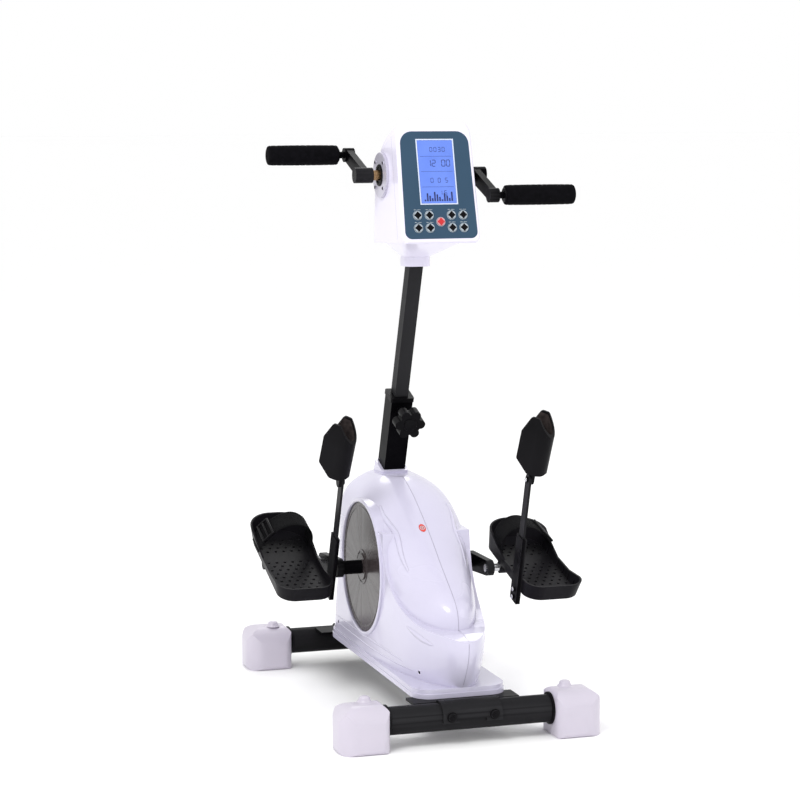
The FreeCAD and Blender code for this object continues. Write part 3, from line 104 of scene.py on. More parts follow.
class Shader:
    """A node material under construction, with its coordinates and short ways to add nodes."""

    def __init__(self, name, space="Object"):
        self.material = bpy.data.materials.new(name)
        self.material.use_nodes = True
        self.tree = self.material.node_tree
        self.out = self.tree.nodes["Principled BSDF"]
        self.coords = self.tree.nodes.new("ShaderNodeTexCoord").outputs[space]

    def node(self, kind, inputs, **settings):
        node = self.tree.nodes.new(kind)
        for key, value in settings.items():
            setattr(node, key, value)
        for key, value in inputs.items():
            if isinstance(value, bpy.types.NodeSocket):
                self.tree.links.new(value, node.inputs[key])
            else:
                node.inputs[key].default_value = value
        return node

    def noise(self, scale, detail=3.0, stretch=(1, 1, 1)):
        mapping = self.node("ShaderNodeMapping", {"Vector": self.coords, "Scale": stretch})
        return self.node("ShaderNodeTexNoise", {"Vector": mapping.outputs[0], "Scale": scale,
                                                "Detail": detail}).outputs["Fac"]

    def ramp(self, value, low, high, a=0.35, b=0.65):
        node = self.tree.nodes.new("ShaderNodeValToRGB")
        node.color_ramp.elements[0].position = a
        node.color_ramp.elements[1].position = b
        node.color_ramp.elements[0].color = (*low, 1)
        node.color_ramp.elements[1].color = (*high, 1)
        self.tree.links.new(value, node.inputs[0])
        return node.outputs[0]

    def level(self, value, low, high, a=0.3, b=0.7):
        return self.node("ShaderNodeMapRange", {0: value, 1: a, 2: b, 3: low, 4: high}).outputs[0]

    def mix(self, factor, a, b):
        node = self.tree.nodes.new("ShaderNodeMix")
        node.data_type = "RGBA"
        for socket, value in ((node.inputs[0], factor), (node.inputs[6], a), (node.inputs[7], b)):
            if isinstance(value, bpy.types.NodeSocket):
                self.tree.links.new(value, socket)
            else:
                socket.default_value = value if isinstance(value, float) else (*value, 1)
        return node.outputs[2]

    def edges(self, low=0.52, high=0.60):
        point = self.tree.nodes.new("ShaderNodeNewGeometry").outputs["Pointiness"]
        return self.level(point, 0.0, 0.16, low, high)

    def bump(self, height, strength, distance, normal=None):
        inputs = {"Height": height, "Strength": strength, "Distance": distance}
        if normal is not None:
            inputs["Normal"] = normal
        return self.node("ShaderNodeBump", inputs).outputs[0]

    def rounded(self, radius):
        return self.node("ShaderNodeBevel", {"Radius": radius}, samples=4).outputs[0]

    def finish(self, colour, roughness, normal=None, **values):
        for key, value in (("Base Color", colour), ("Roughness", roughness)):
            if isinstance(value, bpy.types.NodeSocket):
                self.tree.links.new(value, self.out.inputs[key])
            else:
                self.out.inputs[key].default_value = value
        if normal is not None:
            self.tree.links.new(normal, self.out.inputs["Normal"])
        for key, value in values.items():
            self.out.inputs[key.replace("_", " ")].default_value = value
        return self.material


def moulded(name, colour, shade, rough, grain, scale, radius=0.0008, **values):
    """Moulded plastic: slow colour drift, a fine grained skin and softly rounded edges."""
    s = Shader(name)
    drift = s.ramp(s.noise(9.0, 4.0), shade, colour, 0.30, 0.62)
    scuffs = s.level(s.noise(7.0, 2.0), rough * 0.92, rough * 1.08)
    skin = s.bump(s.noise(scale, 1.0), grain, 0.0003, s.rounded(radius))
    return s.finish(drift, scuffs, skin, **values)


def painted(name, colour, shade, wear):
    """Powder-coated steel: orange-peel skin, and bare metal just showing along sharp edges."""
    s = Shader(name)
    base = s.ramp(s.noise(14.0, 5.0), shade, colour)
    worn = s.mix(s.edges(0.56, 0.68), base, wear)
    rough = s.level(s.noise(20.0, 2.0), 0.26, 0.34)
    skin = s.bump(s.noise(900.0, 2.0), 0.10, 0.0004, s.rounded(0.0007))
    return s.finish(worn, rough, skin, Specular_IOR_Level=0.02)


def machined(name, colour, shade, rough, stretch):
    """Bare metal with fine tool marks drawn out along one axis."""
    s = Shader(name)
    marks = s.noise(220.0, 5.0, stretch)
    tint = s.ramp(marks, shade, colour)
    skin = s.bump(marks, 0.12, 0.0003, s.rounded(0.0004))
    return s.finish(tint, s.level(marks, rough * 0.8, rough * 1.3), skin, Metallic=1.0)


def disc_material():
    """Glossy warm-grey cover with a faint spun grain round the crank."""
    s = Shader("disc_cover")
    shift = s.node("ShaderNodeMapping", {"Vector": s.coords, "Location": (0, -CRANK_Y, -CRANK_Z)})
    split = s.node("ShaderNodeSeparateXYZ", {0: shift.outputs[0]})
    angle = s.node("ShaderNodeMath", {0: split.outputs[1], 1: split.outputs[2]},
                   operation="ARCTAN2").outputs[0]
    spun = s.node("ShaderNodeTexNoise", {"W": angle, "Scale": 5.0, "Detail": 4.0},
                  noise_dimensions="1D").outputs[0]
    tint = s.ramp(spun, (0.036, 0.029, 0.030), (0.052, 0.042, 0.043), 0.1, 0.9)
    skin = s.bump(s.noise(700.0, 2.0), 0.05, 0.0003, s.rounded(0.0008))
    return s.finish(tint, s.level(spun, 0.20, 0.30), skin, Coat_Weight=0.08, Coat_Roughness=0.10,
                    Specular_IOR_Level=0.22)


def foam_material(name, colour, shade):
    """Closed-cell foam: open pores on a soft, dull skin."""
    s = Shader(name)
    cells = s.node("ShaderNodeTexVoronoi", {"Vector": s.coords, "Scale": 900.0}).outputs["Distance"]
    soft = s.noise(120.0, 5.0)
    tint = s.ramp(soft, shade, colour)
    skin = s.bump(cells, 0.35, 0.0005, s.bump(soft, 0.25, 0.0008))
    return s.finish(tint, s.level(soft, 0.72, 0.9), skin, Specular_IOR_Level=0.04)


def webbing_material(name, colour, shade):
    """Woven strap: crossed yarns in the strap's own directions."""
    s = Shader(name, "UV")
    along = s.node("ShaderNodeTexWave", {"Vector": s.coords, "Scale": 260.0, "Distortion": 0.4},
                   wave_type="BANDS", bands_direction="X").outputs["Fac"]
    across = s.node("ShaderNodeTexWave", {"Vector": s.coords, "Scale": 190.0, "Distortion": 0.3},
                    wave_type="BANDS", bands_direction="Y").outputs["Fac"]
    yarn = s.node("ShaderNodeMath", {0: along, 1: across}, operation="MULTIPLY").outputs[0]
    fuzz = s.noise(300.0, 4.0)
    tint = s.mix(s.level(fuzz, 0.0, 0.6), s.ramp(yarn, shade, colour, 0.1, 0.7), shade)
    skin = s.bump(yarn, 0.7, 0.0006, s.bump(fuzz, 0.2, 0.0003))
    return s.finish(tint, 0.78, skin, Specular_IOR_Level=0.06)


def screen_material():
    """Lit liquid-crystal screen, its blue drifting a little at random."""
    s = Shader("screen_glow")
    cloud = s.noise(30.0, 3.0)
    tint = s.ramp(cloud, (0.095, 0.175, 0.58), (0.125, 0.215, 0.66), 0.2, 0.8)
    s.tree.links.new(tint, s.out.inputs["Emission Color"])
    grid = s.node("ShaderNodeTexVoronoi", {"Vector": s.coords, "Scale": 1400.0}).outputs["Distance"]
    return s.finish(tint, 0.22, s.bump(grid, 0.05, 0.0002), Emission_Strength=0.12,
                    Specular_IOR_Level=0.3)


def rubber_material(name):
    s = Shader(name)
    ribs = s.node("ShaderNodeTexWave", {"Vector": s.coords, "Scale": 120.0, "Distortion": 0.0},
                  bands_direction="Z").outputs["Fac"]
    tint = s.ramp(s.noise(60.0, 4.0), (0.010, 0.010, 0.011), (0.024, 0.024, 0.026))
    return s.finish(tint, 0.7, s.bump(ribs, 0.3, 0.0004))


BLACK = (0.0018, 0.0016, 0.0022)
BLACK_LIT = (0.0036, 0.0033, 0.0042)
M = {
    "black_steel": painted("black_powder_coat", BLACK_LIT, BLACK, (0.16, 0.16, 0.17)),
    "white_shell": moulded("white_abs", (0.72, 0.69, 0.82), (0.69, 0.66, 0.79), 0.30, 0.03,
                           1100.0, Coat_Weight=0.4, Coat_Roughness=0.10),
    "foot_plastic": moulded("foot_abs", (0.555, 0.515, 0.60), (0.52, 0.485, 0.565), 0.36, 0.08,
                            800.0, Coat_Weight=0.2, Coat_Roughness=0.2),
    "disc_plastic": disc_material(),
    "bright_steel": machined("bright_steel", (0.72, 0.72, 0.74), (0.50, 0.50, 0.52), 0.24,
                             (0.2, 6, 6)),
    "bronze": machined("bronze", (0.42, 0.27, 0.13), (0.26, 0.16, 0.08), 0.30, (6, 1, 1)),
    "pulley_alloy": machined("cast_alloy", (0.60, 0.61, 0.63), (0.44, 0.45, 0.47), 0.42,
                             (2, 1, 1)),
    "belt_rubber": rubber_material("belt_rubber"),
    "tray_plastic": moulded("tray_nylon", (0.0095, 0.0088, 0.0110), (0.0050, 0.0047, 0.0060), 0.42,
                            0.22, 700.0, Specular_IOR_Level=0.07),
    "cup_plastic": moulded("cup_nylon", (0.0060, 0.0056, 0.0068), (0.0032, 0.0030, 0.0037), 0.40,
                           0.20, 750.0, Specular_IOR_Level=0.06),
    "webbing": webbing_material("strap_webbing", (0.010, 0.0095, 0.0115), (0.004, 0.004, 0.0045)),
    "foam": foam_material("grip_foam", (0.0042, 0.0039, 0.0052), (0.0020, 0.0019, 0.0026)),
    "panel_blue": moulded("panel_film", (0.0265, 0.0625, 0.108), (0.0235, 0.0565, 0.098), 0.30,
                          0.01, 900.0, Specular_IOR_Level=0.25),
    "screen": moulded("screen_frame", (0.60, 0.66, 0.80), (0.52, 0.58, 0.72), 0.28, 0.05, 900.0),
    "button_grey": moulded("button_ring", (0.40, 0.45, 0.50), (0.34, 0.39, 0.44), 0.35, 0.08,
                           1200.0, 0.0004),
    "button_red": moulded("button_red", (0.62, 0.30, 0.33), (0.55, 0.25, 0.28), 0.32, 0.05,
                          1200.0, 0.0004),
    "badge_red": moulded("badge_red", (0.68, 0.050, 0.035), (0.55, 0.035, 0.028), 0.2, 0.03,
                         1200.0, 0.0003, Coat_Weight=0.6),
    "black_plastic": moulded("black_plastic", (0.0050, 0.0047, 0.0057), (0.0027, 0.0025, 0.0031),
                             0.36, 0.12, 800.0, Specular_IOR_Level=0.06),
}
HOUSING = moulded("housing_abs", (0.575, 0.552, 0.685), (0.55, 0.527, 0.66), 0.26, 0.03, 1100.0,
                  Coat_Weight=0.5, Coat_Roughness=0.08)
ENAMEL = moulded("flange_enamel", (0.55, 0.53, 0.62), (0.48, 0.46, 0.55), 0.34, 0.05, 900.0,
                 Metallic=0.3)
OWN_LOOK = {"left_shell": HOUSING, "right_shell": HOUSING, "left_axle_flange": ENAMEL,
            "right_axle_flange": ENAMEL}
# The padded liner is real; its brown, paler than the cup's black, is painted light standing in for
# the lit inside wall of the cup.
LINER_PAINTED_LIGHT = foam_material("liner_foam_painted_light", (0.034, 0.027, 0.026), (0.015, 0.012, 0.012))
SCREEN = screen_material()
INK_DARK = moulded("segment_ink", (0.028, 0.040, 0.20), (0.020, 0.030, 0.16), 0.35, 0.05, 900.0)
INK_WHITE = moulded("legend_ink", (0.46, 0.52, 0.57), (0.38, 0.44, 0.49), 0.45, 0.05, 900.0)
CROSS_RED = moulded("cross_red", (0.50, 0.012, 0.016), (0.40, 0.010, 0.013), 0.32, 0.05, 1200.0)
SEAM_GREY = moulded("seam_shadow", (0.33, 0.31, 0.40), (0.27, 0.255, 0.33), 0.6, 0.05, 900.0)


def soften(name, width):
    """Rounds a CAD part's sharp edges for the eye."""
    obj = NODES[name]
    weld = obj.modifiers.new("weld", "WELD")
    weld.merge_threshold = 0.00002
    bevel = obj.modifiers.new("bevel", "BEVEL")
    bevel.width = width
    bevel.segments = 4
    bevel.limit_method = "ANGLE"
    bevel.angle_limit = math.radians(24)


def dress_nodes():
    for part in frame["record"]["subparts"]:
        mesh = NODES[part["node"]].data
        mesh.materials.clear()
        mesh.materials.append(OWN_LOOK.get(part["node"], M[part["material_slot"]]))


# Mesh helpers


def piece(name, build, material, body, angle=35.0):
    """Turns a bmesh into a shown piece with smooth shading up to an angle."""
    bmesh.ops.recalc_face_normals(build, faces=build.faces)
    mesh = bpy.data.meshes.new(name)
    build.to_mesh(mesh)
    build.free()
    for face in mesh.polygons:
        face.use_smooth = True
    mesh.set_sharp_from_angle(angle=math.radians(angle))
    mesh.materials.append(material)
    obj = bpy.data.objects.new(name, mesh)
    bpy.context.scene.collection.objects.link(obj)
    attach(obj, body)
    return obj


def bridge(build, rings, closed=True):
    """Faces between rows of vertices that have the same count."""
    for a, b in zip(rings, rings[1:]):
        count = len(a)
        for i in range(count if closed else count - 1):
            j = (i + 1) % count
            build.faces.new((a[i], a[j], b[j], b[i]))


def lathe(build, profile, place, segments=32):
    """Solid of revolution about the place's z axis from (radius, height) pairs."""
    rings = []
    for radius, height in profile:
        ring = []
        for i in range(segments):
            angle = 2 * math.pi * i / segments
            ring.append(build.verts.new(place @ Vector((radius * math.cos(angle),
                                                        radius * math.sin(angle), height))))
        rings.append(ring)
    bridge(build, rings)
    build.faces.new(rings[0][::-1])
    build.faces.new(rings[-1])


def along_x(x, y, z, sign=1):
    """Frame whose z axis points along x, outward for the side."""
    return Matrix.Translation((x, y, z)) @ Matrix.Rotation(math.radians(90 * sign), 4, "Y")


def slab(build, place, half_w, half_h, depth, radius, steps=5):
    """Rounded plate on the place's xz plane, from y 0 to y -depth, with softened edges."""
    rim = min(depth * 0.5, radius * 0.5)
    rows = []
    for inset, y in ((0.0, 0.0), (0.0, -depth + rim), (rim * 0.3, -depth + rim * 0.3),
                     (rim, -depth)):
        row = []
        for cx, cz, start in ((1, 1, 0), (-1, 1, 90), (-1, -1, 180), (1, -1, 270)):
            for i in range(steps + 1):
                angle = math.radians(start + 90 * i / steps)
                row.append(build.verts.new(place @ Vector((
                    cx * (half_w - radius) + (radius - inset) * math.cos(angle), y,
                    cz * (half_h - radius) + (radius - inset) * math.sin(angle)))))
        rows.append(row)
    bridge(build, rows)
    build.faces.new(rows[0])
    build.faces.new(rows[-1])


def sweep(build, points, normals, section):
    """Closed section of (across, up) pairs carried along points, with the ends closed."""
    rings = []
    for i, point in enumerate(points):
        ahead = points[min(i + 1, len(points) - 1)] - points[max(i - 1, 0)]
        normal = normals[i]
        across = ahead.cross(normal).normalized()
        rings.append([build.verts.new(point + across * a + normal * b) for a, b in section(i)])
    bridge(build, rings)
    build.faces.new(rings[0])
    build.faces.new(rings[-1])


def smooth_path(points, steps):
    """Points along a smooth curve through the given ones."""
    path = []
    last = len(points) - 1
    for i in range(last):
        a = points[max(i - 1, 0)]
        b = points[i]
        c = points[i + 1]
        d = points[min(i + 2, last)]
        for k in range(steps):
            t = k / steps
            path.append(0.5 * ((2 * b) + (c - a) * t + (2 * a - 5 * b + 4 * c - d) * t * t
                               + (3 * b - a - 3 * c + d) * t ** 3))
    path.append(points[last].copy())
    return path


def surface(*names):
    """Search tree over CAD nodes, for finding points on their skin."""
    verts = []
    faces = []
    for name in names:
        mesh = NODES[name].data
        start = len(verts)
        verts.extend(v.co.copy() for v in mesh.vertices)
        faces.extend([start + i for i in face.vertices] for face in mesh.polygons)
    return BVHTree.FromPolygons(verts, faces)


dress_nodes()
for foot in ("front_left_foot", "front_right_foot", "rear_left_foot", "rear_right_foot"):
    soften(foot, 0.006)

# Foot straps

STRAP_PATH = ((0.1500, 0.028), (0.1512, 0.050), (0.162, 0.0672), (0.182, 0.0755), (0.205, 0.0712),
              (0.228, 0.0560), (0.2435, 0.0380), (0.2500, 0.022))
STRAP_WIDTH = 0.048
STRAP_MIDDLE = 0.028
STRAP_THICK = 0.0024


def strap_path(side):
    place = pedal_frame(side)
    points = smooth_path([Vector((x, 0, z)) for x, z in STRAP_PATH], 9)
    return place, points


def strap_normal(points, i):
    ahead = points[min(i + 1, len(points) - 1)] - points[max(i - 1, 0)]
    normal = Vector((-ahead.z, 0, ahead.x)).normalized()
    return normal


def build_strap(side):
    place, points = strap_path(side)
    build = bmesh.new()
    uv = build.loops.layers.uv.new("UVMap")
    columns = 17
    rings = []
    coords = {}
    travelled = 0.0
    for i, point in enumerate(points):
        if i:
            travelled += (point - points[i - 1]).length
        normal = strap_normal(points, i)
        ring = []
        for side_of in (1, -1):
            for c in range(columns):
                t = c / (columns - 1) if side_of == 1 else 1 - c / (columns - 1)
                y = (t - 0.5) * STRAP_WIDTH
                edge = min(t, 1 - t) * STRAP_WIDTH
                lip = 0.0007 * math.exp(-((edge - 0.0018) / 0.0012) ** 2)
                stitch = -0.00035 * math.exp(-((edge - 0.0042) / 0.0008) ** 2)
                fall = STRAP_THICK / 2 * (1 if edge > 0.0008 else 0.55)
                ripple = 0.0005 * math.sin(travelled * 95 + y * 60)
                up = side_of * (fall + (lip + stitch if side_of == 1 else 0)) + ripple
                vert = build.verts.new(place @ (Vector((point.x, y + STRAP_MIDDLE, point.z))
                                                + normal * up))
                coords[vert] = (y * 4, travelled * 4)
                ring.append(vert)
        rings.append(ring)
    bridge(build, rings)
    build.faces.new(rings[0])
    build.faces.new(rings[-1])
    for face in build.faces:
        for loop in face.loops:
            loop[uv].uv = coords[loop.vert]
    strap = piece(side + "_strap_webbing", build, M["webbing"], side + "_pedal", 60)
    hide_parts(side + "_foot_strap")
    build_stitches(side, place, points)
    build_buckle(side, place, points)


def build_stitches(side, place, points):
    """Two rows of thread along the strap."""
    build = bmesh.new()
    for row in (-0.0190, 0.0190):
        for i in range(3, len(points) - 4, 2):
            normal = strap_normal(points, i)
            a = place @ (points[i] + Vector((0, row + STRAP_MIDDLE, 0)) + normal * 0.0012)
            b = place @ (points[i + 1] + Vector((0, row + STRAP_MIDDLE, 0)) + normal * 0.0012)
            up = (place.to_3x3() @ normal).normalized()
            path = [a.lerp(b, t) + up * 0.0005 * math.sin(math.pi * t) for t in
                    (0.0, 0.25, 0.5, 0.75, 1.0)]
            ring = [(0.00035 * math.cos(k * math.pi / 3), 0.00035 * math.sin(k * math.pi / 3))
                    for k in range(6)]
            sweep(build, path, [up] * 5, lambda _: ring)
    piece(side + "_strap_thread", build, M["webbing"], side + "_pedal", 60)


def build_buckle(side, place, points):
    """Ladder buckle on the outer run of the strap, with two slots and a bar."""
    build = bmesh.new()
    i = len(points) - 17
    normal = strap_normal(points, i)
    ahead = (points[i + 1] - points[i - 1]).normalized()
    centre = points[i] + Vector((0, STRAP_MIDDLE, 0)) + normal * 0.0032
    basis = Matrix((ahead, Vector((0, 1, 0)), normal)).transposed().to_4x4()
    frame_of = place @ Matrix.Translation(centre) @ basis
    for offset, half in ((-0.0115, 0.0022), (0.0, 0.0018), (0.0115, 0.0022)):
        bar = frame_of @ Matrix.Translation((offset, 0, 0)) @ Matrix.Rotation(math.pi / 2, 4, "X")
        lathe(build, ((half * 0.4, -0.0265), (half * 0.9, -0.0262), (half, -0.025), (half, 0.025),
                      (half * 0.9, 0.0262), (half * 0.4, 0.0265)), bar, 14)
    for end in (-0.0255, 0.0255):
        bar = frame_of @ Matrix.Translation((0, end, 0)) @ Matrix.Rotation(math.pi / 2, 4, "Y")
        lathe(build, ((0.001, -0.0136), (0.0019, -0.013), (0.0021, -0.012), (0.0021, 0.012),
                      (0.0019, 0.013), (0.001, 0.0136)), bar, 14)
    piece(side + "_strap_buckle", build, M["black_plastic"], side + "_pedal")


# Hand grips


def build_grip(side):
    sign = SIDES[side][0]
    y, z = grip_place(side)
    place = along_x(sign * 0.123, y, z, sign)
    build = bmesh.new()
    profile = [(0.0068, 0.0), (0.0150, 0.0002), (0.0166, 0.0012), (0.0172, 0.0032)]
    steps = 46
    for i in range(steps + 1):
        t = i / steps
        swell = 0.0004 * math.sin(math.pi * t)
        crease = -0.0005 * max(0.0, math.cos(t * 2 * math.pi * 11)) ** 6
        profile.append((0.0174 + swell + crease, 0.0050 + t * 0.1165))
    profile += [(0.0172, 0.1238), (0.0162, 0.1262), (0.0140, 0.1274), (0.0085, 0.1279),
                (0.0080, 0.1272), (0.0020, 0.1270)]
    lathe(build, profile, place, 48)
    grip = piece(side + "_grip_sleeve", build, M["foam"], side + "_grip", 50)
    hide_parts(side + "_hand_grip")
    ring = bmesh.new()
    lathe(ring, ((0.0074, -0.0022), (0.0118, -0.0020), (0.0126, -0.0010), (0.0126, -0.0004),
                 (0.0118, -0.0001), (0.0074, -0.0001)), place, 32)
    piece(side + "_grip_washer", ring, M["black_plastic"], "hand_crank")


# Calf cup liners

CUP_TOP = ((-0.001, 0.020), (0.024, 0.056), (0.038, 0.056), (0.052, 0.025))
CUP_LOW = ((-0.001, -0.042), (0.028, -0.042), (0.052, -0.028))
CUP_INNER = 0.0167


def height_at(profile, y):
    for (y0, z0), (y1, z1) in zip(profile, profile[1:]):
        if y <= y1:
            return z0 + (z1 - z0) * (y - y0) / (y1 - y0)
    return profile[-1][1]


def liner_path(steps):
    """Points and inward directions round the inside of the cup, from lip to lip."""
    run = 0.027
    bend = math.pi * CUP_INNER
    total = 2 * run + bend
    result = []
    for i in range(steps + 1):
        s = total * i / steps
        if s < run:
            result.append((-CUP_INNER, 0.021 + run - s, 1.0, 0.0))
        elif s < run + bend:
            angle = (s - run) / CUP_INNER
            result.append((-CUP_INNER * math.cos(angle), 0.021 - CUP_INNER * math.sin(angle),
                           math.cos(angle), math.sin(angle)))
        else:
            result.append((CUP_INNER, 0.021 + s - run - bend, -1.0, 0.0))
    return result


def build_liner(side):
    place = cup_frame(side)
    build = bmesh.new()
    path = liner_path(64)
    rows = 36
    outer = []
    inner = []
    for i, (x, y, nx, ny) in enumerate(path):
        top = height_at(CUP_TOP, y) - 0.0035
        low = height_at(CUP_LOW, y) + 0.0030
        out_row = []
        in_row = []
        for k in range(rows + 1):
            t = k / rows
            z = low + (top - low) * t
            edge = min(t, 1 - t) * (top - low)
            end = min(i, len(path) - 1 - i) / (len(path) - 1) * 0.107
            near = min(edge, end)
            crown = 1 - math.exp(-near / 0.0035)
            seam = 1 - 0.45 * math.exp(-((near - 0.0065) / 0.0011) ** 2)
            channel = 1 - 0.18 * max(0.0, math.cos(t * 2 * math.pi * 4)) ** 10
            thick = 0.0007 + 0.0046 * crown * seam * channel
            out_row.append(build.verts.new(place @ Vector((x, y, z))))
            in_row.append(build.verts.new(place @ Vector((x + nx * thick, y + ny * thick, z))))
        outer.append(out_row)
        inner.append(in_row)
    bridge(build, outer, False)
    bridge(build, inner, False)
    rim_out = ([row[0] for row in outer] + outer[-1][1:-1] + [row[-1] for row in outer[::-1]]
               + outer[0][-2:0:-1])
    rim_in = ([row[0] for row in inner] + inner[-1][1:-1] + [row[-1] for row in inner[::-1]]
              + inner[0][-2:0:-1])
    bridge(build, [rim_out, rim_in])
    # The liner's brown colour is painted light for the lit inside of the cup.
    liner = piece(side + "_cup_liner", build, LINER_PAINTED_LIGHT, side + "_cup", 60)


# Fasteners


def dome_head(build, place, radius, height, sides=0):
    """Domed head with a recess; with sides it is a hexagon under a dome."""
    if sides:
        lathe(build, ((radius * 0.96, 0), (radius, height * 0.12), (radius, height * 0.75),
                      (radius * 0.9, height * 0.95), (radius * 0.5, height)), place, sides)
        lathe(build, ((radius * 0.62, height * 0.9), (radius * 0.60, height * 1.25),
                      (radius * 0.35, height * 1.4), (radius * 0.05, height * 1.42)), place, 20)
        return
    profile = [(radius, 0.0), (radius, height * 0.15)]
    for i in range(1, 6):
        angle = math.radians(90 * i / 6)
        profile.append((radius * math.cos(angle) * 0.98, height * (0.15 + 0.85 * math.sin(angle))))
    profile += [(radius * 0.30, height * 0.97), (radius * 0.27, height * 0.55),
                (radius * 0.02, height * 0.50)]
    lathe(build, profile, place, 24)


def build_rivets(side):
    frame_of = pedal_frame(side)
    build = bmesh.new()
    for v in (-0.007, 0.008):
        place = frame_of @ Matrix.Translation((0.1346, -0.100, v)) @ Matrix.Rotation(
            math.radians(-90), 4, "Y")
        dome_head(build, place, 0.0042, 0.0022)
    outer = bmesh.new()
    pin = frame_of @ Matrix.Translation((0.1358, -0.100, 0.220)) @ Matrix.Rotation(
        math.radians(-90), 4, "Y")
    dome_head(outer, pin, 0.0040, 0.0018)
    piece(side + "_sleeve_rivets", build, M["bright_steel"], side + "_pedal")
    piece(side + "_cup_pin_cap", outer, M["bright_steel"], side + "_cup")


def build_crank_hardware(side):
    sign = SIDES[side][0]
    build = bmesh.new()
    place = along_x(sign * 0.1310, CRANK_Y, CRANK_Z, sign)
    lathe(build, ((0.0070, 0.0), (0.0072, 0.0003), (0.0072, 0.0007), (0.0064, 0.0011)), place, 6)
    lathe(build, ((0.0044, 0.0006), (0.0043, 0.0011), (0.0038, 0.0012), (0.0008, 0.0012)), place,
          24)
    piece(side + "_crank_nut", build, M["bright_steel"], "leg_crank")


# Console


def build_screen():
    face = face_frame()
    build = bmesh.new()
    place = face @ Matrix.Translation((0, 0.0006, 0.023))
    slab(build, place, 0.0317, 0.0552, 0.0007, 0.0012)
    piece("lcd_screen", build, SCREEN, "upper_unit")
    marks = bmesh.new()
    surface_y = -0.00012
    build_digits(marks, face, surface_y)
    build_bars(marks, face, surface_y)
    piece("lcd_segments", marks, INK_DARK, "upper_unit")


SEGMENTS = {"a": (0, 1, True), "b": (1, 0.5, False), "c": (1, -0.5, False), "d": (0, -1, True),
            "e": (-1, -0.5, False), "f": (-1, 0.5, False), "g": (0, 0, True)}
DIGITS = {"0": "abcdef", "1": "bc", "2": "abged", "3": "abgcd", "5": "afgcd"}


def build_digits(build, face, y):
    """Rows of seven-segment figures."""
    rows = ((0.062, 0.0042, "  0030 "), (0.038, 0.0060, " 12 00"), (0.008, 0.0042, "  0 0 5 "),
            (-0.014, 0.0042, "   15 "))
    for p, size, text in rows:
        pitch = 0.052 / len(text)
        for i, letter in enumerate(text):
            if letter not in DIGITS:
                continue
            x = -0.026 + pitch * (i + 0.5)
            for key in DIGITS[letter]:
                dx, dz, flat = SEGMENTS[key]
                half_w = size * (0.42 if flat else 0.10)
                half_h = size * (0.10 if flat else 0.38)
                place = face @ Matrix.Translation((x + dx * size * 0.5, y, p + dz * size * 0.9))
                slab(build, place, half_w, half_h, 0.00008, min(half_w, half_h) * 0.5, 2)


def build_bars(build, face, y):
    """Graph columns and frame lines of the display."""
    for i in range(12):
        height = 0.0015 + 0.0011 * ((i * 5) % 7)
        place = face @ Matrix.Translation((-0.0245 + 0.0044 * i, y, -0.0225 - 0.006 + height))
        slab(build, place, 0.0014, height, 0.00008, 0.0003, 2)
    for p in (0.0500, 0.0235, -0.0035):
        place = face @ Matrix.Translation((0, y, p))
        slab(build, place, 0.0285, 0.00022, 0.00008, 0.0001, 2)


BUTTONS = ((-0.041, -0.053), (-0.020, -0.053), (0.020, -0.053), (0.041, -0.053),
           (-0.041, -0.075), (-0.020, -0.075), (0.020, -0.075), (0.041, -0.075), (0.0, -0.0645))


def build_buttons():
    """Dark crosses with round middles on the pale buttons, and a red one between them."""
    face = face_frame()
    rings = bmesh.new()
    for i, (x, p) in enumerate(BUTTONS):
        body = "button_" + str(i + 1)
        cap = bmesh.new()
        place = face @ Matrix.Translation((x, -0.0022, p))
        slab(cap, place, 0.0063, 0.0017, 0.0005, 0.0008, 3)
        slab(cap, place, 0.0017, 0.0063, 0.0005, 0.0008, 3)
        lathe(cap, ((0.00478, 0.0), (0.00478, 0.0007), (0.0044, 0.00095), (0.0020, 0.0010),
                    (0.0002, 0.0009)), place @ Matrix.Rotation(math.pi / 2, 4, "X"), 28)
        slot = "button_red" if i == 8 else "black_plastic"
        piece(body + "_cap", cap, CROSS_RED if i == 8 else M[slot], body)
        lathe_ring(rings, place @ Matrix.Translation((0, 0.0022, 0)) @ Matrix.Rotation(
            math.pi / 2, 4, "X"), 0.0078, 0.0004, 0.0003, 40)
    piece("button_rims", rings, INK_WHITE, "upper_unit")


def build_legends():
    """Short plain ticks above the buttons."""
    face = face_frame()
    build = bmesh.new()
    for i, (x, p) in enumerate(BUTTONS):
        if i == 8:
            continue
        for k, half in ((-1, 0.0024), (1, 0.0030)):
            place = face @ Matrix.Translation((x + k * 0.0034, -0.00002, p + 0.0098))
            slab(build, place, half, 0.00050, 0.00010, 0.0002, 2)
    piece("panel_legends", build, INK_WHITE, "upper_unit")


def build_console_seam():
    """Shadow line where the console's two shells meet."""
    face = face_frame()
    skin = surface("console_front_shell", "console_rear_shell")
    build = bmesh.new()
    centre = face @ Vector((0, 0.028, 0))
    up = (face.to_3x3() @ Vector((0, 0, 1))).normalized()
    points = []
    normals = []
    count = 150
    for i in range(count + 1):
        angle = math.radians(-55 + 290 * i / count)
        ray = (Vector((1, 0, 0)) * math.cos(angle) + up * math.sin(angle)).normalized()
        hit = skin.ray_cast(centre + ray * 0.4, -ray, 0.4)
        if hit[0] is None:
            continue
        points.append(hit[0] - hit[1] * 0.00025)
        normals.append(hit[1])
    section = ((-0.0005, 0.0), (-0.0003, 0.0003), (0.0003, 0.0003), (0.0005, 0.0))
    sweep(build, points, normals, lambda _: section)
    piece("console_seam", build, SEAM_GREY, "upper_unit", 60)


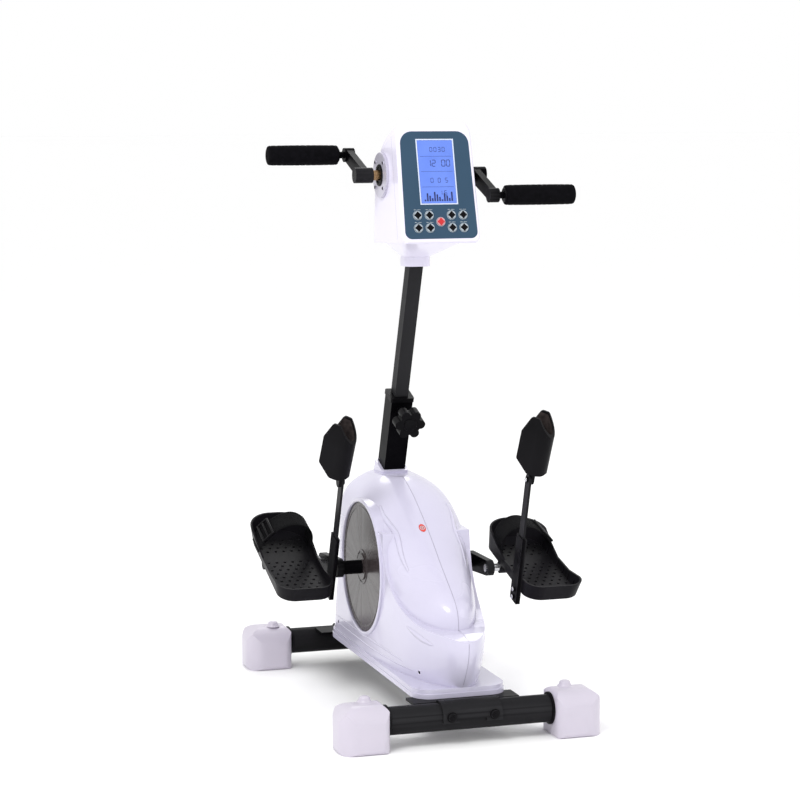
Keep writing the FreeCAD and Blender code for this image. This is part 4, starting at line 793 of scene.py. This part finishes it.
def build_flange_screws():
    for side, (sign, _, _, _) in SIDES.items():
        build = bmesh.new()
        for angle in (45, 135, 225, 315):
            a = math.radians(angle)
            place = along_x(sign * 0.0752, HAND_Y + 0.031 * math.cos(a),
                            HAND_Z + 0.031 * math.sin(a), sign)
            dome_head(build, place, 0.0030, 0.0016)
        piece(side + "_flange_screws", build, M["black_plastic"], "upper_unit")
        boss = bmesh.new()
        place = along_x(sign * 0.0738, HAND_Y, HAND_Z, sign)
        lathe(boss, ((0.0192, 0.0), (0.0192, 0.0014), (0.0184, 0.0024), (0.0150, 0.0026),
                     (0.0140, 0.0008), (0.0095, 0.0006)), place, 48)
        piece(side + "_flange_boss", boss, M["black_plastic"], "upper_unit")


# Housing


def build_housing_seam():
    """Shadow line down the middle of the housing, where its halves meet."""
    skin = surface("left_shell", "right_shell")
    build = bmesh.new()
    points = []
    normals = []
    for i in range(161):
        angle = math.radians(212 - 150 * i / 160)
        ray = Vector((0, math.cos(angle), math.sin(angle)))
        hit = skin.ray_cast(Vector((0.0004, -0.05, 0.16)) + ray * 0.6, -ray, 0.6)
        if hit[0] is None or hit[0].z < 0.09:
            continue
        normal = Vector((0, hit[1].y, hit[1].z)).normalized()
        points.append(Vector((0, hit[0].y, hit[0].z)) - normal * 0.0003)
        normals.append(normal)
    section = ((-0.0006, 0.0), (-0.0004, 0.00045), (0.0004, 0.00045), (0.0006, 0.0))
    sweep(build, points, normals, lambda _: section)
    piece("housing_seam", build, SEAM_GREY, "base_unit", 60)


HOUSING_SCREWS = ((-0.330, 0.118), (-0.215, 0.100), (0.190, 0.105), (-0.060, 0.385))


def build_housing_screws():
    """Screws sunk in the sides of the housing."""
    skin = surface("left_shell", "right_shell")
    cups = bmesh.new()
    heads = bmesh.new()
    for side, (sign, _, _, _) in SIDES.items():
        for y, z in HOUSING_SCREWS:
            hit = skin.ray_cast(Vector((sign * 0.3, y, z)), Vector((-sign, 0, 0)), 0.4)
            if hit[0] is None:
                continue
            turn = hit[1].to_track_quat("Z", "Y").to_matrix().to_4x4()
            place = Matrix.Translation(hit[0]) @ turn
            lathe(cups, ((0.0048, -0.0003), (0.0050, 0.0002), (0.0046, 0.0006), (0.0040, 0.0005),
                         (0.0036, 0.0001), (0.0036, -0.0003)), place, 28)
            dome_head(heads, place @ Matrix.Translation((0, 0, -0.0008)), 0.0033, 0.0016)
    piece("housing_screw_rims", cups, M["white_shell"], "base_unit")
    piece("housing_screws", heads, M["black_plastic"], "base_unit")


def build_disc_rim():
    """Rounded lip round the opening that the crank cover turns in."""
    lips = bmesh.new()
    lathe_ring(lips, along_x(-0.0843, CRANK_Y, CRANK_Z, -1), 0.1210, 0.0031, 0.0016)
    lathe_ring(lips, along_x(0.0838, CRANK_Y, CRANK_Z), 0.0325, 0.0026, 0.0014, 60)
    piece("crank_opening_lips", lips, HOUSING, "base_unit", 60)
    beads = bmesh.new()
    lathe_ring(beads, along_x(-0.0820, CRANK_Y, CRANK_Z, -1), 0.0300, 0.0022, 0.0012)
    lathe_ring(beads, along_x(-0.0820, CRANK_Y, CRANK_Z, -1), 0.1085, 0.0018, 0.0008)
    lathe_ring(beads, along_x(0.0820, CRANK_Y, CRANK_Z), 0.0262, 0.0010, 0.0005, 60)
    piece("crank_disc_beads", beads, M["disc_plastic"], "leg_crank", 60)


def lathe_ring(build, place, radius, half, height, segments=120):
    """Half-round bead standing on a flat face."""
    rings = []
    for k in range(7):
        angle = math.pi * k / 6
        ring = []
        for i in range(segments):
            turn = 2 * math.pi * i / segments
            r = radius - half * math.cos(angle)
            ring.append(build.verts.new(place @ Vector((r * math.cos(turn), r * math.sin(turn),
                                                        height * math.sin(angle)))))
        rings.append(ring)
    base = []
    for i in range(segments):
        turn = 2 * math.pi * i / segments
        base.append(build.verts.new(place @ Vector((radius * math.cos(turn),
                                                    radius * math.sin(turn), -height * 0.6))))
    bridge(build, rings + [base] + [rings[0]])


RIDGES = (
    ((-0.010, 0.359), (-0.034, 0.345), (-0.086, 0.318), (-0.124, 0.284), (-0.150, 0.263)),
    ((-0.185, 0.176), (-0.205, 0.170), (-0.225, 0.165), (-0.245, 0.161), (-0.265, 0.158)),
    ((0.195, 0.103), (0.100, 0.102), (0.0, 0.101), (-0.080, 0.101), (-0.160, 0.100),
     (-0.200, 0.099)),
    ((0.205, 0.116), (0.110, 0.116), (0.010, 0.116), (-0.070, 0.115), (-0.130, 0.112),
     (-0.165, 0.108)),
)
RIDGE_SIZES = ((0.0050, 0.0017), (0.0055, 0.0018), (0.0022, 0.0010), (0.0022, 0.0010))


def build_ridges(side):
    """Soft swept ridges on a side of the housing, and fine lines above its foot."""
    sign = SIDES[side][0]
    skin = surface(side + "_shell")
    build = bmesh.new()
    for guide, (half, height) in zip(RIDGES, RIDGE_SIZES):
        points = []
        normals = []
        for spot in smooth_path([Vector((0, y, z)) for y, z in guide], 10):
            hit = skin.ray_cast(Vector((sign * 0.3, spot.y, spot.z)), Vector((-sign, 0, 0)), 0.35)
            if hit[0] is None:
                continue
            points.append(hit[0])
            normals.append(hit[1])
        last = len(points) - 1

        def section(i, last=last, half=half, height=height):
            grow = math.sin(math.pi * (i + 0.6) / (last + 1.2)) ** 0.6
            row = []
            for k in range(9):
                t = -1 + k / 4
                row.append((t * half * grow, height * grow * math.cos(t * math.pi / 2) ** 2))
            return row + [(0.0, -0.0008)]

        sweep(build, points, normals, section)
    piece(side + "_housing_ridges", build, HOUSING, "base_unit", 60)


def build_foot_details():
    """Dark collars where the tubes enter the feet, and soft domes over their studs."""
    collars = bmesh.new()
    domes = bmesh.new()
    for sign_x in (-1, 1):
        for sign_y in (-1, 1):
            place = along_x(sign_x * 0.1436, sign_y * 0.3125, 0.046, sign_x)
            lathe(collars, ((0.0243, 0.0), (0.0268, 0.0002), (0.0278, 0.0010), (0.0280, 0.0022),
                            (0.0280, 0.0043), (0.0243, 0.0043)), place, 48)
            dome = Matrix.Translation((sign_x * 0.180, sign_y * 0.3005, 0.0795))
            lathe(domes, ((0.0132, 0.0), (0.0122, 0.0009), (0.0106, 0.0026), (0.0096, 0.0050),
                          (0.0090, 0.0070), (0.0080, 0.0085), (0.0058, 0.0094), (0.0030, 0.0098),
                          (0.0003, 0.0099)), dome, 36)
    piece("foot_collars", collars, M["black_plastic"], "base_unit")
    piece("foot_domes", domes, M["foot_plastic"], "base_unit", 60)


def build_badge():
    """Plain raised disc on the badge plate."""
    low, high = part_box("shell_badge")
    skin = surface("shell_badge")
    middle = (low + high) / 2
    hit = skin.ray_cast(middle + Vector((0, -0.2, 0.2)), Vector((0, 1, -1)).normalized(), 0.5)
    turn = hit[1].to_track_quat("Z", "Y").to_matrix().to_4x4()
    place = Matrix.Translation(hit[0]) @ turn
    build = bmesh.new()
    lathe_ring(build, place, 0.0040, 0.0007, 0.0004, 40)
    lathe(build, ((0.0016, -0.0002), (0.0016, 0.0002), (0.0010, 0.0004), (0.0002, 0.0004)), place,
          24)
    piece("badge_mark", build, INK_WHITE, "base_unit")


# Mast and base


def build_knob_cap():
    mast = mast_frame()
    build = bmesh.new()
    turn = Matrix.Rotation(math.radians(90), 4, "X")
    place = mast @ Matrix.Translation((0, -0.0768, 0.508)) @ turn
    lathe(build, ((0.0118, 0.0), (0.0122, 0.0010), (0.0116, 0.0022), (0.0080, 0.0031),
                  (0.0030, 0.0034), (0.0004, 0.0034)), place, 40)
    piece("knob_cap", build, M["black_plastic"], "clamp_knob")


def build_bolt_heads():
    """Hexagon heads and washers over the clamp bolts of the base tubes."""
    build = bmesh.new()
    for side_y in (-1, 1):
        for x in (-0.038, 0.038):
            place = Matrix.Translation((x, side_y * 0.3405, 0.051)) @ Matrix.Rotation(
                math.radians(90 * side_y), 4, "X").inverted()
            lathe(build, ((0.0086, 0.0), (0.0090, 0.0004), (0.0090, 0.0012), (0.0084, 0.0016),
                          (0.0060, 0.0016)), place, 32)
            dome_head(build, place @ Matrix.Translation((0, 0, 0.0014)), 0.0066, 0.0040, 6)
    piece("clamp_bolt_heads", build, M["black_plastic"], "base_unit")


for side_name in SIDES:
    build_strap(side_name)
    build_grip(side_name)
    build_liner(side_name)
    build_rivets(side_name)
    build_crank_hardware(side_name)
    build_ridges(side_name)
build_foot_details()
build_screen()
build_buttons()
build_legends()
build_console_seam()
build_flange_screws()
build_housing_seam()
build_housing_screws()
build_disc_rim()
build_badge()
build_knob_cap()
build_bolt_heads()

# Camera

CAMERA_TARGET = Vector((-0.010, 0.0345, 0.541))
CAMERA_DISTANCE = 4.3
CAMERA_AZIMUTH = math.radians(17.75)
CAMERA_PITCH = math.radians(7.28)
CAMERA_LENS = 107.3


def add_camera():
    back = Vector((-math.sin(CAMERA_AZIMUTH) * math.cos(CAMERA_PITCH),
                   -math.cos(CAMERA_AZIMUTH) * math.cos(CAMERA_PITCH),
                   math.sin(CAMERA_PITCH)))
    data = bpy.data.cameras.new("camera")
    data.lens = CAMERA_LENS
    data.sensor_width = 36
    camera = bpy.data.objects.new("camera", data)
    camera.location = CAMERA_TARGET + back * CAMERA_DISTANCE
    camera.rotation_euler = back.to_track_quat("Z", "Y").to_euler()
    bpy.context.scene.collection.objects.link(camera)
    bpy.context.scene.camera = camera


# Stage


def add_area(name, location, target, size, energy):
    data = bpy.data.lights.new(name, "AREA")
    data.shape = "DISK"
    data.size = size
    data.energy = energy
    light = bpy.data.objects.new(name, data)
    light.location = location
    aim = Vector(location) - Vector(target)
    light.rotation_euler = aim.to_track_quat("Z", "Y").to_euler()
    bpy.context.scene.collection.objects.link(light)


def add_stage():
    mesh = bpy.data.meshes.new("floor")
    build = bmesh.new()
    bmesh.ops.create_grid(build, x_segments=1, y_segments=1, size=60)
    build.to_mesh(mesh)
    build.free()
    floor = bpy.data.objects.new("floor", mesh)
    bpy.context.scene.collection.objects.link(floor)
    material = bpy.data.materials.new("floor_white")
    material.use_nodes = True
    shader = material.node_tree.nodes["Principled BSDF"]
    shader.inputs["Base Color"].default_value = (1, 1, 1, 1)
    shader.inputs["Roughness"].default_value = 0.8
    mesh.materials.append(material)
    world = bpy.data.worlds.new("studio")
    world.use_nodes = True
    world.node_tree.nodes["Background"].inputs[0].default_value = (1, 1, 1, 1)
    world.node_tree.nodes["Background"].inputs[1].default_value = 1.0
    bpy.context.scene.world = world
    bpy.context.scene.view_settings.view_transform = "Standard"
    add_area("key", (-1.6, -1.6, 2.6), (0, 0, 0.4), 1.2, 42)
    add_area("fill", (2.4, -1.6, 1.6), (0, 0, 0.5), 1.8, 10)
    add_area("rim", (0.6, 2.4, 2.4), (0, 0, 0.6), 1.4, 14)


add_camera()
add_stage()
